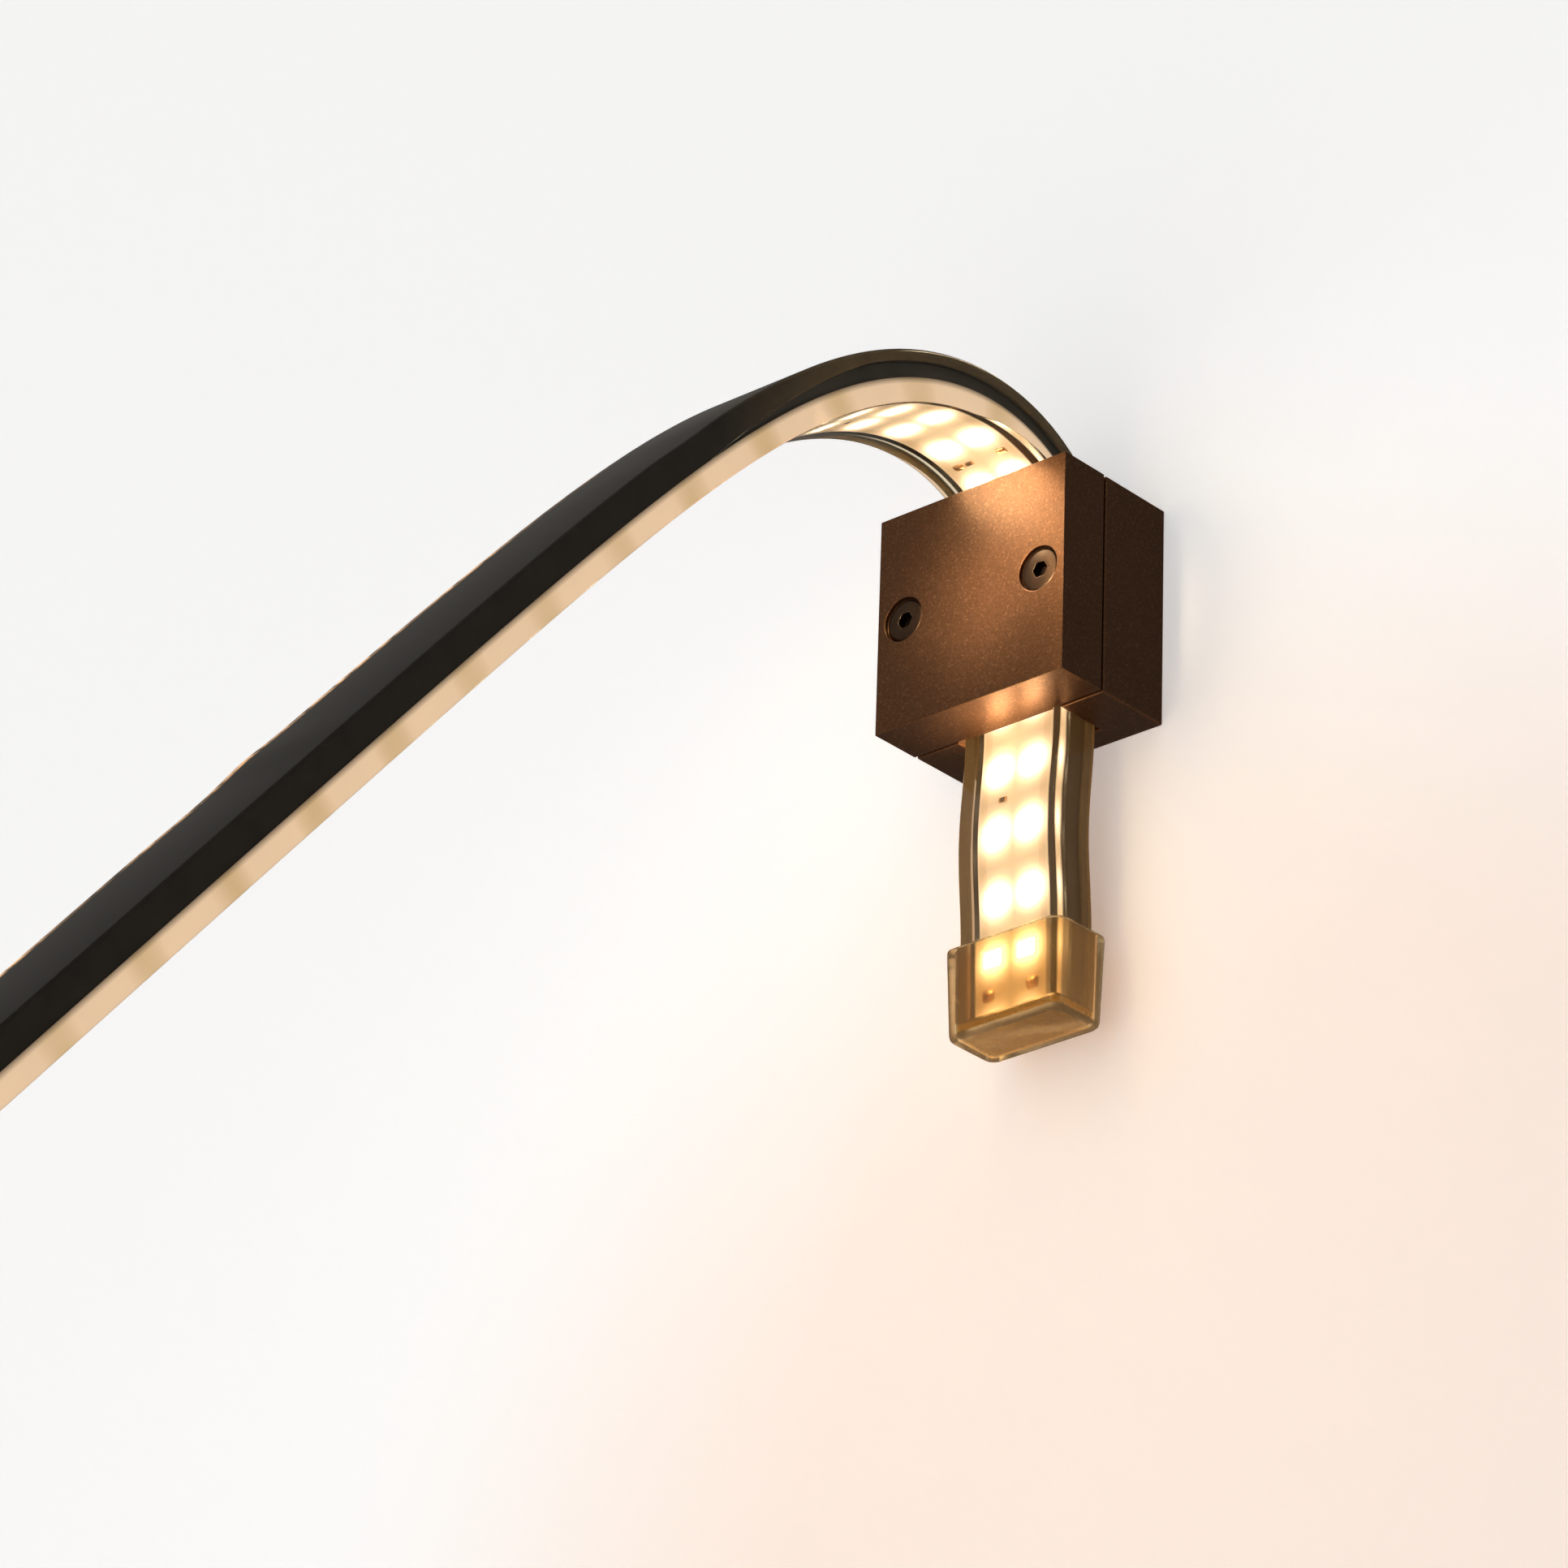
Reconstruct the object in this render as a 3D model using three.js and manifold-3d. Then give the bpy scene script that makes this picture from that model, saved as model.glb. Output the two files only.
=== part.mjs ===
// A wall light: a flat, clear flexible LED strip held by a two-part clamp block.
// Millimetres. +X runs right along the wall, +Y into the wall, +Z up.
// The origin is the centre of the block's wall face, so the wall is the plane y = 0.
// Left and right are as seen by someone who faces the wall.

import * as THREE from 'three';
import { mergeVertices } from 'three/addons/utils/BufferGeometryUtils.js';
import Module from 'manifold-3d';

const wasm = await Module();
wasm.setup();

const GAP = 0.3; // clearance between neighbouring pieces

// Clamp block
const BLOCK_WIDTH = 30;
const BLOCK_HEIGHT = 30.2;
const BLOCK_DEPTH = 19.6; // wall face to front face
const PLATE_DEPTH = 7.6;
const PLATE_GAP = 0.4; // slit between the wall block and the front plate
const EDGE_CHAMFER = 0.25;

// Flexible strip
const STRIP_WIDTH = 15.6;
const STRIP_THICKNESS = 7;
const STRIP_AXIS_Y = -7.6; // middle of the strip where the block holds it
const STRIP_CORNER = 0.8;
const BACK_SKIN = 1.5;
const FRONT_WALL = 1;
const SIDE_WALL = 1.4;
const CORE_THICKNESS = 2.3;
const RIBBON_WIDTH = 11;
const RIBBON_THICKNESS = 0.3;
const WIRE_DIAMETER = 0.8;
const WIRE_X = 3.4; // distance of each bus wire from the strip's middle

// Route of the strip. It leaves the block upwards, bends out over it and runs down and outwards.
const TAIL_LENGTH = 38.5; // below the block, with its cap
const TAIL_BOW = 0.8; // how far the free tail bows away from the wall
const BEND_START_Z = 12.5;
const TIGHT_RADIUS = 7; // first part of the bend, over the block's edge
const TIGHT_TURN = THREE.MathUtils.degToRad(47.5);
const FINAL_SLOPE = THREE.MathUtils.degToRad(49.4); // below the horizontal
const BAND_LENGTH = 24.8; // sets how quickly the bend dies away
const RUN_LENGTH = 272; // from the start of the bend to the outer end
const PATH_STEP = 0.25;
const STATION_TURN = THREE.MathUtils.degToRad(7);
const STATION_SPACING = 14;

// End caps
const CAP_WALL = 1.4;
const CAP_FLOOR = 1.5;
const CAP_OVERLAP = 9.9; // how much of the strip a cap covers
const CAP_CORNER = 1.7;
const CAP_TAPER = 0.94; // closed end against mouth
const SEALANT_THICKNESS = 0.7;

// Clamp screws, M3 x 14 countersunk with a hexagon socket
const CLAMP_SCREW_X = 10.9;
const SCREW = { shank: 1.5, head: 2.8, headHeight: 1.4, length: 14, rim: 0.25, socket: 2, socketDepth: 1.3 };
const SCREW_RECESS = 0.35; // of the head below the front face
const COUNTERSINK_RADIUS = 3.3;
const TAPPED_HOLE_END_Y = -3;

// Contact unit, in a stepped window of the wall block behind the strip
const CONTACT_Z = -5.4;
const CARRIER_STEP = { x: 7.3, z: 2.4 }; // half sizes
const CARRIER_FLANGE = { x: 8.6, z: 3.3, depth: 1 };
const CONTACT_PLATE = { inner: 1.9, outer: 6.6, z: 1.6, thickness: 0.6, back: -2 };
const PIN_RADIUS = 0.45;
const TERMINAL_X = 5.3;
const TERMINAL = { head: 1.2, headHeight: 0.9, shank: 0.6, length: 2.5, slot: 0.45, slotDepth: 0.4 };

// Wall fixing holes in the floor of the channel
const WALL_HOLE_Z = 11.4;
const WALL_HOLE_RADIUS = 1.7;
const WALL_COUNTERSINK_RADIUS = 3;

const BLOCK_FRONT_Y = -BLOCK_DEPTH;
const PLATE_BACK_Y = BLOCK_FRONT_Y + PLATE_DEPTH;
const WALL_BLOCK_FRONT_Y = PLATE_BACK_Y + PLATE_GAP;
const BLOCK_BOTTOM_Z = -BLOCK_HEIGHT / 2;
const STRIP_BACK_Y = STRIP_AXIS_Y + STRIP_THICKNESS / 2;
const STRIP_FACE_Y = STRIP_AXIS_Y - STRIP_THICKNESS / 2;
const CHANNEL_FLOOR_Y = STRIP_BACK_Y + GAP + 0.05;
const CHANNEL_HALF_WIDTH = STRIP_WIDTH / 2 + GAP + 0.05;
const CAP_DEPTH = CAP_OVERLAP + SEALANT_THICKNESS + 2 * GAP;
const STRIP_END_Z = BLOCK_BOTTOM_Z - TAIL_LENGTH;
const CAP_MOUTH_Z = STRIP_END_Z + CAP_OVERLAP;

// Heights of the strip's layers, from the middle of its thickness towards the lit face
const CORE_BACK = -STRIP_THICKNESS / 2 + BACK_SKIN + GAP;
const CORE_FRONT = CORE_BACK + CORE_THICKNESS;
const RIBBON_BACK = CORE_FRONT + GAP;
const RIBBON_FRONT = RIBBON_BACK + RIBBON_THICKNESS;
const CHAMBER_FRONT = STRIP_THICKNESS / 2 - FRONT_WALL;
const WIRE_HEIGHT = (CORE_BACK + CORE_FRONT) / 2;

const PAINT = {
  anodised: { color: 0x4a3626, roughness: 0.5, metalness: 0.85 },
  screw: { color: 0x8a6f52, roughness: 0.3, metalness: 1 },
  clearPvc: { color: 0xb9ad8c, roughness: 0.2, metalness: 0 },
  blackPvc: { color: 0x1b1917, roughness: 0.6, metalness: 0 },
  copper: { color: 0xb87333, roughness: 0.35, metalness: 1 },
  circuit: { color: 0xf6e6c6, roughness: 0.5, metalness: 0 },
  solder: { color: 0xc98b4e, roughness: 0.3, metalness: 0.9 },
  sealant: { color: 0xd8c07a, roughness: 0.35, metalness: 0 },
  carrier: { color: 0xe9e4d8, roughness: 0.5, metalness: 0 },
  brass: { color: 0xc9a24b, roughness: 0.3, metalness: 1 },
  steel: { color: 0xb8bcc0, roughness: 0.3, metalness: 1 },
};

function toSolid(geometry) {
  const bare = geometry.clone();
  bare.deleteAttribute('normal');
  bare.deleteAttribute('uv');
  const merged = mergeVertices(bare, 1e-4);
  const vertProperties = Float32Array.from(merged.attributes.position.array);
  const triVerts = Uint32Array.from(merged.index.array);
  return new wasm.Manifold(new wasm.Mesh({ numProp: 3, vertProperties, triVerts }));
}

function toGeometry(solid) {
  const cut = solid.getMesh();
  const geometry = new THREE.BufferGeometry();
  geometry.setAttribute('position', new THREE.BufferAttribute(Float32Array.from(cut.vertProperties), 3));
  geometry.setIndex(new THREE.BufferAttribute(Uint32Array.from(cut.triVerts), 1));
  geometry.computeVertexNormals();
  return geometry;
}

// The body with every geometry of the list cut out of it
function carve(body, cuts) {
  const cut = cuts.reduce((solid, geometry) => solid.subtract(toSolid(geometry)), toSolid(body));
  return toGeometry(cut);
}

function join(geometries) {
  const [first, ...rest] = geometries.map(toSolid);
  return toGeometry(rest.reduce((solid, next) => solid.add(next), first));
}

function mesh(name, geometry, paint) {
  const piece = new THREE.Mesh(geometry, new THREE.MeshStandardMaterial(paint));
  piece.name = name;
  return piece;
}

// The two ends of a span of twice half about middle
function around(middle, half) {
  return [middle - half, middle + half];
}

function box(x, y, z) {
  const geometry = new THREE.BoxGeometry(x[1] - x[0], y[1] - y[0], z[1] - z[0]);
  return geometry.translate((x[0] + x[1]) / 2, (y[0] + y[1]) / 2, (z[0] + z[1]) / 2);
}

// A cylinder or cone along Y: frontRadius at yFront, backRadius at yBack
function turned(frontRadius, backRadius, yFront, yBack, x, z, sides = 24) {
  const geometry = new THREE.CylinderGeometry(backRadius, frontRadius, yBack - yFront, sides);
  return geometry.translate(x, (yFront + yBack) / 2, z);
}

function roundedRectangle(width, height, radius) {
  const shape = new THREE.Shape();
  const corners = [[1, 1], [-1, 1], [-1, -1], [1, -1]];
  corners.forEach(([sideX, sideY], quarter) => {
    const centreX = sideX * (width / 2 - radius);
    const centreY = sideY * (height / 2 - radius);
    const start = (quarter * Math.PI) / 2;
    shape.absarc(centreX, centreY, radius, start, start + Math.PI / 2, false);
  });
  return shape;
}

// A block with small chamfers on all its edges, between yFront and yBack
function chamferedBlock(yFront, yBack) {
  const size = EDGE_CHAMFER;
  const halfWidth = BLOCK_WIDTH / 2;
  const halfHeight = BLOCK_HEIGHT / 2;
  const outline = new THREE.Shape([
    new THREE.Vector2(halfWidth, -halfHeight + size),
    new THREE.Vector2(halfWidth, halfHeight - size),
    new THREE.Vector2(halfWidth - size, halfHeight),
    new THREE.Vector2(-halfWidth + size, halfHeight),
    new THREE.Vector2(-halfWidth, halfHeight - size),
    new THREE.Vector2(-halfWidth, -halfHeight + size),
    new THREE.Vector2(-halfWidth + size, -halfHeight),
    new THREE.Vector2(halfWidth - size, -halfHeight),
  ]);
  const geometry = new THREE.ExtrudeGeometry(outline, {
    depth: yBack - yFront - 2 * size,
    bevelThickness: size,
    bevelSize: size,
    bevelOffset: -size,
    bevelSegments: 1,
  });
  return geometry.rotateX(Math.PI / 2).translate(0, yBack - size, 0);
}

function wallBlock() {
  const tall = [-BLOCK_HEIGHT, BLOCK_HEIGHT];
  const channelX = [-CHANNEL_HALF_WIDTH, CHANNEL_HALF_WIDTH];
  const cuts = [box(channelX, [WALL_BLOCK_FRONT_Y - 1, CHANNEL_FLOOR_Y], tall)];
  for (const side of [-1, 1]) {
    const x = side * CLAMP_SCREW_X;
    cuts.push(turned(SCREW.shank + GAP, SCREW.shank + GAP, WALL_BLOCK_FRONT_Y - 1, TAPPED_HOLE_END_Y, x, 0));
    const z = side * WALL_HOLE_Z;
    const coneDepth = WALL_COUNTERSINK_RADIUS - WALL_HOLE_RADIUS;
    cuts.push(turned(WALL_HOLE_RADIUS, WALL_HOLE_RADIUS, CHANNEL_FLOOR_Y - 1, 1, 0, z));
    cuts.push(turned(
      WALL_COUNTERSINK_RADIUS + 1, WALL_HOLE_RADIUS, CHANNEL_FLOOR_Y - 1, CHANNEL_FLOOR_Y + coneDepth, 0, z));
  }
  const window = { x: CARRIER_STEP.x + GAP, z: CARRIER_STEP.z + GAP };
  const seat = { x: CARRIER_FLANGE.x + GAP, z: CARRIER_FLANGE.z + GAP };
  const seatFloorY = -CARRIER_FLANGE.depth - 2 * GAP;
  cuts.push(box([-window.x, window.x], [CHANNEL_FLOOR_Y - 1, 1], around(CONTACT_Z, window.z)));
  cuts.push(box([-seat.x, seat.x], [seatFloorY, 1], around(CONTACT_Z, seat.z)));
  return mesh('wall_block', carve(chamferedBlock(WALL_BLOCK_FRONT_Y, 0), cuts), PAINT.anodised);
}

// The front plate presses the strip with a low tongue, and is eased where the strip bends out over it
function frontPlate() {
  const tongueHalfWidth = 6.5;
  const tongueLift = 0.4; // above the block's lower face
  const tongueTop = 11.5;
  const easeHeight = 3.2;
  const easeDepth = 1.6;
  const tongueX = [-tongueHalfWidth, tongueHalfWidth];
  const tongueZ = [tongueLift - BLOCK_HEIGHT / 2, tongueTop];
  const tongue = box(tongueX, [PLATE_BACK_Y - 1, STRIP_FACE_Y - GAP], tongueZ);
  const plate = join([chamferedBlock(BLOCK_FRONT_Y, PLATE_BACK_Y), tongue]);
  const ease = new THREE.ExtrudeGeometry(new THREE.Shape([
    new THREE.Vector2(PLATE_BACK_Y - easeDepth, BLOCK_HEIGHT / 2 + 0.01),
    new THREE.Vector2(PLATE_BACK_Y + 1, BLOCK_HEIGHT / 2 - easeHeight - 2),
    new THREE.Vector2(PLATE_BACK_Y + 1, BLOCK_HEIGHT / 2 + 0.01),
  ]), { depth: 2 * CHANNEL_HALF_WIDTH, bevelEnabled: false });
  // the shape's X and Y become world Y and Z, and its depth runs along world X
  const axes = new THREE.Matrix4().makeBasis(
    new THREE.Vector3(0, 1, 0), new THREE.Vector3(0, 0, 1), new THREE.Vector3(1, 0, 0));
  ease.applyMatrix4(axes).translate(-CHANNEL_HALF_WIDTH, 0, 0);
  const holes = [ease];
  for (const x of [-CLAMP_SCREW_X, CLAMP_SCREW_X]) {
    const hole = SCREW.shank + GAP;
    const over = 0.5;
    holes.push(turned(hole, hole, BLOCK_FRONT_Y - 1, PLATE_BACK_Y + 1, x, 0));
    holes.push(turned(
      COUNTERSINK_RADIUS + over, hole, BLOCK_FRONT_Y - over + SCREW_RECESS,
      BLOCK_FRONT_Y + SCREW_RECESS + COUNTERSINK_RADIUS - hole, x, 0, 36));
    holes.push(turned(
      COUNTERSINK_RADIUS, COUNTERSINK_RADIUS, BLOCK_FRONT_Y - 1, BLOCK_FRONT_Y + SCREW_RECESS, x, 0, 36));
  }
  return mesh('front_plate', carve(plate, holes), PAINT.anodised);
}

function clampScrew(name, x) {
  const top = BLOCK_FRONT_Y + SCREW_RECESS;
  const coneStart = top + SCREW.rim;
  const coneEnd = coneStart + SCREW.headHeight;
  const body = join([
    turned(SCREW.head, SCREW.head, top, coneStart + 0.01, x, 0, 36),
    turned(SCREW.head, SCREW.shank, coneStart, coneEnd, x, 0, 36),
    turned(SCREW.shank, SCREW.shank, coneEnd - 0.1, top + SCREW.length, x, 0),
  ]);
  const socketRadius = SCREW.socket / Math.sqrt(3);
  const socket = turned(socketRadius, socketRadius, top - 1, top + SCREW.socketDepth, x, 0, 6);
  return mesh(name, carve(body, [socket]), PAINT.screw);
}

// Stations of the strip's middle line: place in the plane x = 0, and heading above the outward horizontal
function stripStations() {
  const stations = [];
  const cutEnd = STRIP_END_Z;
  const freeTail = BLOCK_BOTTOM_Z - CAP_MOUTH_Z;
  const bowSteps = 8;
  stations.push({ y: STRIP_AXIS_Y, z: cutEnd, heading: Math.PI / 2 });
  for (let step = 0; step <= bowSteps; step += 1) {
    const phase = (2 * Math.PI * step) / bowSteps;
    const y = STRIP_AXIS_Y - (TAIL_BOW * (1 - Math.cos(phase))) / 2;
    const lean = (TAIL_BOW * Math.PI * Math.sin(phase)) / freeTail;
    const z = CAP_MOUTH_Z + (freeTail * step) / bowSteps;
    stations.push({ y, z, heading: Math.PI / 2 - Math.atan(lean) });
  }
  let place = { y: STRIP_AXIS_Y, z: BEND_START_Z, heading: Math.PI / 2 };
  stations.push(place);
  const tightEnd = Math.PI / 2 - TIGHT_TURN;
  let sinceStation = 0;
  for (let travelled = 0; travelled < RUN_LENGTH; travelled += PATH_STEP) {
    const left = place.heading + FINAL_SLOPE;
    // past the tight first part, the strip lies as a taut flexible band does
    const curvature = place.heading > tightEnd ? 1 / TIGHT_RADIUS : (2 / BAND_LENGTH) * Math.sin(left / 2);
    const middle = place.heading - (curvature * PATH_STEP) / 2;
    place = {
      y: place.y - PATH_STEP * Math.cos(middle),
      z: place.z + PATH_STEP * Math.sin(middle),
      heading: place.heading - curvature * PATH_STEP,
    };
    sinceStation += PATH_STEP;
    const turn = stations[stations.length - 1].heading - place.heading;
    if (turn > STATION_TURN || sinceStation >= STATION_SPACING) {
      stations.push(place);
      sinceStation = 0;
    }
  }
  if (sinceStation > 0) stations.push(place);
  return stations;
}

const STATIONS = stripStations();
const OUTER_END = STATIONS[STATIONS.length - 1];

function tangentAt(heading, target = new THREE.Vector3()) {
  return target.set(0, -Math.cos(heading), Math.sin(heading));
}

// The strip's middle line as a curve that has one step for each station
class StripLine extends THREE.Curve {
  station(u) {
    return STATIONS[Math.round(u * (STATIONS.length - 1))];
  }

  getPointAt(u, target = new THREE.Vector3()) {
    const { y, z } = this.station(u);
    return target.set(0, y, z);
  }

  getTangentAt(u, target = new THREE.Vector3()) {
    return tangentAt(this.station(u).heading, target);
  }
}

// Sweeps a section along the strip. Its Y points to the lit face, and its X to world -X.
function alongStrip(section, curveSegments) {
  const extrudePath = new StripLine();
  const steps = STATIONS.length - 1;
  return new THREE.ExtrudeGeometry(section, { steps, curveSegments, extrudePath, bevelEnabled: false });
}

// A layer of the strip between two heights
function layer(width, back, front) {
  return new THREE.Shape([
    new THREE.Vector2(width / 2, back),
    new THREE.Vector2(width / 2, front),
    new THREE.Vector2(-width / 2, front),
    new THREE.Vector2(-width / 2, back),
  ]);
}

// Blind holes through the strip's back that let the contact pins reach the bus wires
function pinHoles(depth) {
  const radius = PIN_RADIUS + GAP;
  return [-WIRE_X, WIRE_X].map(
    (x) => turned(radius, radius, STRIP_BACK_Y - depth, STRIP_BACK_Y + 1, x, CONTACT_Z, 16));
}

// Places a turned piece across the strip near its tail end, between two heights above its middle
function acrossTail(radius, from, to, x, sides) {
  const z = STRIP_END_Z + 3;
  return turned(radius, radius, STRIP_AXIS_Y - to, STRIP_AXIS_Y - from, x, z, sides);
}

function stripPieces() {
  const jacketSection = roundedRectangle(STRIP_WIDTH, STRIP_THICKNESS, STRIP_CORNER);
  const cavityBack = -STRIP_THICKNESS / 2 + BACK_SKIN;
  jacketSection.holes.push(layer(STRIP_WIDTH - 2 * SIDE_WALL, cavityBack, CHAMBER_FRONT));
  const jacket = carve(alongStrip(jacketSection, 2), pinHoles(BACK_SKIN + 0.5));

  const coreSection = layer(STRIP_WIDTH - 2 * SIDE_WALL - 2 * GAP, CORE_BACK, CORE_FRONT);
  const wireSection = (x, radius) => new THREE.Shape().absarc(x, WIRE_HEIGHT, radius, 0, 2 * Math.PI, false);
  const wireHoleRadius = WIRE_DIAMETER / 2 + GAP;
  coreSection.holes.push(wireSection(-WIRE_X, wireHoleRadius), wireSection(WIRE_X, wireHoleRadius));
  const jumperHoles = [-WIRE_X, WIRE_X].map((x) => acrossTail(0.6, WIRE_HEIGHT, CHAMBER_FRONT - 0.1, x, 12));
  const coreCuts = [...pinHoles(BACK_SKIN + GAP + CORE_THICKNESS / 2), ...jumperHoles];
  const core = carve(alongStrip(coreSection, 4), coreCuts);
  const ribbon = carve(alongStrip(layer(RIBBON_WIDTH, RIBBON_BACK, RIBBON_FRONT)), jumperHoles);

  const pieces = [
    mesh('strip_jacket', jacket, PAINT.clearPvc),
    mesh('strip_core', core, PAINT.blackPvc),
    mesh('led_circuit_ribbon', ribbon, PAINT.circuit),
  ];
  for (const [side, x] of [['left', -WIRE_X], ['right', WIRE_X]]) {
    pieces.push(mesh(`bus_wire_${side}`, alongStrip(wireSection(-x, WIRE_DIAMETER / 2), 4), PAINT.copper));
    const jumper = join([
      acrossTail(0.3, WIRE_HEIGHT + WIRE_DIAMETER / 2 + GAP, RIBBON_FRONT + GAP + 0.1, x, 10),
      acrossTail(0.9, RIBBON_FRONT + GAP, RIBBON_FRONT + GAP + 0.4, x, 16),
    ]);
    pieces.push(mesh(`solder_jumper_${side}`, jumper, PAINT.solder));
  }
  return pieces;
}

// A cap and its sealant, with the mouth at local z = 0 and the closed end towards +Z
function endCap(prefix) {
  const innerWidth = STRIP_WIDTH + 2 * GAP;
  const innerHeight = STRIP_THICKNESS + 2 * GAP;
  const outerWidth = innerWidth + 2 * CAP_WALL;
  const outerHeight = innerHeight + 2 * CAP_WALL;
  const height = CAP_DEPTH + CAP_FLOOR;
  const shell = new THREE.ExtrudeGeometry(
    roundedRectangle(outerWidth, outerHeight, CAP_CORNER),
    { depth: height, curveSegments: 3, bevelEnabled: false });
  const corners = shell.attributes.position;
  for (let i = 0; i < corners.count; i += 1) {
    const scale = 1 - ((1 - CAP_TAPER) * corners.getZ(i)) / height;
    corners.setX(i, corners.getX(i) * scale);
    corners.setY(i, corners.getY(i) * scale);
  }
  const hollow = new THREE.ExtrudeGeometry(
    roundedRectangle(innerWidth, innerHeight, STRIP_CORNER),
    { depth: CAP_DEPTH + 1, curveSegments: 2, bevelEnabled: false });
  hollow.translate(0, 0, -1);
  const sealant = new THREE.ExtrudeGeometry(
    roundedRectangle(STRIP_WIDTH, STRIP_THICKNESS, STRIP_CORNER),
    { depth: SEALANT_THICKNESS, curveSegments: 2, bevelEnabled: false });
  sealant.translate(0, 0, CAP_OVERLAP + GAP);
  const group = new THREE.Group();
  group.add(mesh(`${prefix}_cap`, carve(shell, [hollow]), PAINT.clearPvc));
  group.add(mesh(`${prefix}_sealant`, sealant, PAINT.sealant));
  return group;
}

function tailCap() {
  const cap = endCap('tail');
  cap.position.set(0, STRIP_AXIS_Y, CAP_MOUTH_Z);
  cap.rotation.x = Math.PI;
  return cap;
}

function outerCap() {
  const cap = endCap('outer');
  const back = tangentAt(OUTER_END.heading).multiplyScalar(-CAP_OVERLAP);
  cap.position.set(0, OUTER_END.y + back.y, OUTER_END.z + back.z);
  cap.rotation.x = Math.PI / 2 - OUTER_END.heading;
  return cap;
}

function contactUnit() {
  const plate = CONTACT_PLATE;
  const { x: stepX, z: stepZ } = CARRIER_STEP;
  const { x: flangeX, z: flangeZ, depth: flangeDepth } = CARRIER_FLANGE;
  const body = join([
    box([-stepX, stepX], [CHANNEL_FLOOR_Y, -GAP - 0.1], around(CONTACT_Z, stepZ)),
    box([-flangeX, flangeX], [-flangeDepth - GAP, -GAP], around(CONTACT_Z, flangeZ)),
  ]);
  const plateFrontY = plate.back - plate.thickness;
  const cuts = [];
  const pieces = [];
  for (const [name, side] of [['left', -1], ['right', 1]]) {
    const across = (near, far) => (side > 0 ? [near, far] : [-far, -near]);
    const recessX = across(plate.inner - GAP, plate.outer + GAP);
    cuts.push(box(recessX, [plateFrontY - GAP, 1], around(CONTACT_Z, plate.z + GAP)));
    const pinX = side * WIRE_X;
    const screwX = side * TERMINAL_X;
    const pinTipY = STRIP_AXIS_Y - WIRE_HEIGHT + WIRE_DIAMETER / 2 + GAP;
    const holeRadius = PIN_RADIUS + GAP;
    cuts.push(turned(holeRadius, holeRadius, CHANNEL_FLOOR_Y - 1, plateFrontY, pinX, CONTACT_Z, 16));
    const clearance = TERMINAL.shank + GAP;
    const screwHole = turned(
      clearance, clearance, CHANNEL_FLOOR_Y - 1, plate.back + 0.1, screwX, CONTACT_Z, 16);
    cuts.push(screwHole);
    const blade = join([
      box(across(plate.inner, plate.outer), [plateFrontY, plate.back], around(CONTACT_Z, plate.z)),
      turned(PIN_RADIUS * 0.5, PIN_RADIUS, pinTipY, pinTipY + 0.8, pinX, CONTACT_Z, 16),
      turned(PIN_RADIUS, PIN_RADIUS, pinTipY + 0.8, plate.back - 0.1, pinX, CONTACT_Z, 16),
    ]);
    pieces.push(mesh(`contact_${name}`, carve(blade, [screwHole]), PAINT.brass));
    const headFrontY = plate.back + GAP;
    const headBackY = headFrontY + TERMINAL.headHeight;
    const { head, shank, length, slot: slotWidth, slotDepth } = TERMINAL;
    const screw = join([
      turned(head, head, headFrontY, headBackY, screwX, CONTACT_Z),
      turned(shank, shank, headBackY - length, headFrontY + 0.1, screwX, CONTACT_Z, 16),
    ]);
    const slot = box(
      [screwX - 2, screwX + 2], [headBackY - slotDepth, headBackY + 1], around(CONTACT_Z, slotWidth / 2));
    pieces.push(mesh(`terminal_screw_${name}`, carve(screw, [slot]), PAINT.steel));
  }
  return [mesh('contact_carrier', carve(body, cuts), PAINT.carrier), ...pieces];
}

const wallLight = new THREE.Group();
wallLight.add(wallBlock(), frontPlate());
wallLight.add(clampScrew('clamp_screw_left', -CLAMP_SCREW_X), clampScrew('clamp_screw_right', CLAMP_SCREW_X));
wallLight.add(...contactUnit(), ...stripPieces(), tailCap(), outerCap());

export default wallLight;
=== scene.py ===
"""A wall light: a flat, clear LED strip held in a two-part bronze block, lit, on a pale wall.
Metres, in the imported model's frame: +X right along the wall, +Y into the wall, +Z up, wall at y = 0."""
import math

import bmesh
import bpy
from mathutils import Matrix, Vector


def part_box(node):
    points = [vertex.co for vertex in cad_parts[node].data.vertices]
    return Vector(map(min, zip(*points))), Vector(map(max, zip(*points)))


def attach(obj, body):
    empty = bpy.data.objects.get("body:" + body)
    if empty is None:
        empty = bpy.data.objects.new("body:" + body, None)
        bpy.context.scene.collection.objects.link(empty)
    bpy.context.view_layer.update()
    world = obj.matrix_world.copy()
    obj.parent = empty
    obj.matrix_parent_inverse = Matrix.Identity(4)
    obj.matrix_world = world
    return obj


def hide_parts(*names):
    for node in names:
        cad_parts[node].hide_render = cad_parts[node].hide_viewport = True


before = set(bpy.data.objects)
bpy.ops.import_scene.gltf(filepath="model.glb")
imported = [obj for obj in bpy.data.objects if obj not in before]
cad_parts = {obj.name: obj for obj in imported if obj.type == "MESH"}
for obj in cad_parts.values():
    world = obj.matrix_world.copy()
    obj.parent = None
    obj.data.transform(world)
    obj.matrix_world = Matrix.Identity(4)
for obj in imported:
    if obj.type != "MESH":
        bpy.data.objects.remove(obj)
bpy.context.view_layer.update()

MM = 0.001
GAP = 0.3 * MM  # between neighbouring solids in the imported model

# Camera, fitted to the block in the photo
CAMERA_PLACE = Vector((0.5205, -0.6253, -0.4275))
CAMERA_TARGET = Vector((-0.0478, 0.0, -0.0039))
CAMERA_ROLL = math.radians(-2.07)
CAMERA_LENS, CAMERA_SENSOR = 167.7, 36.0

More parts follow.
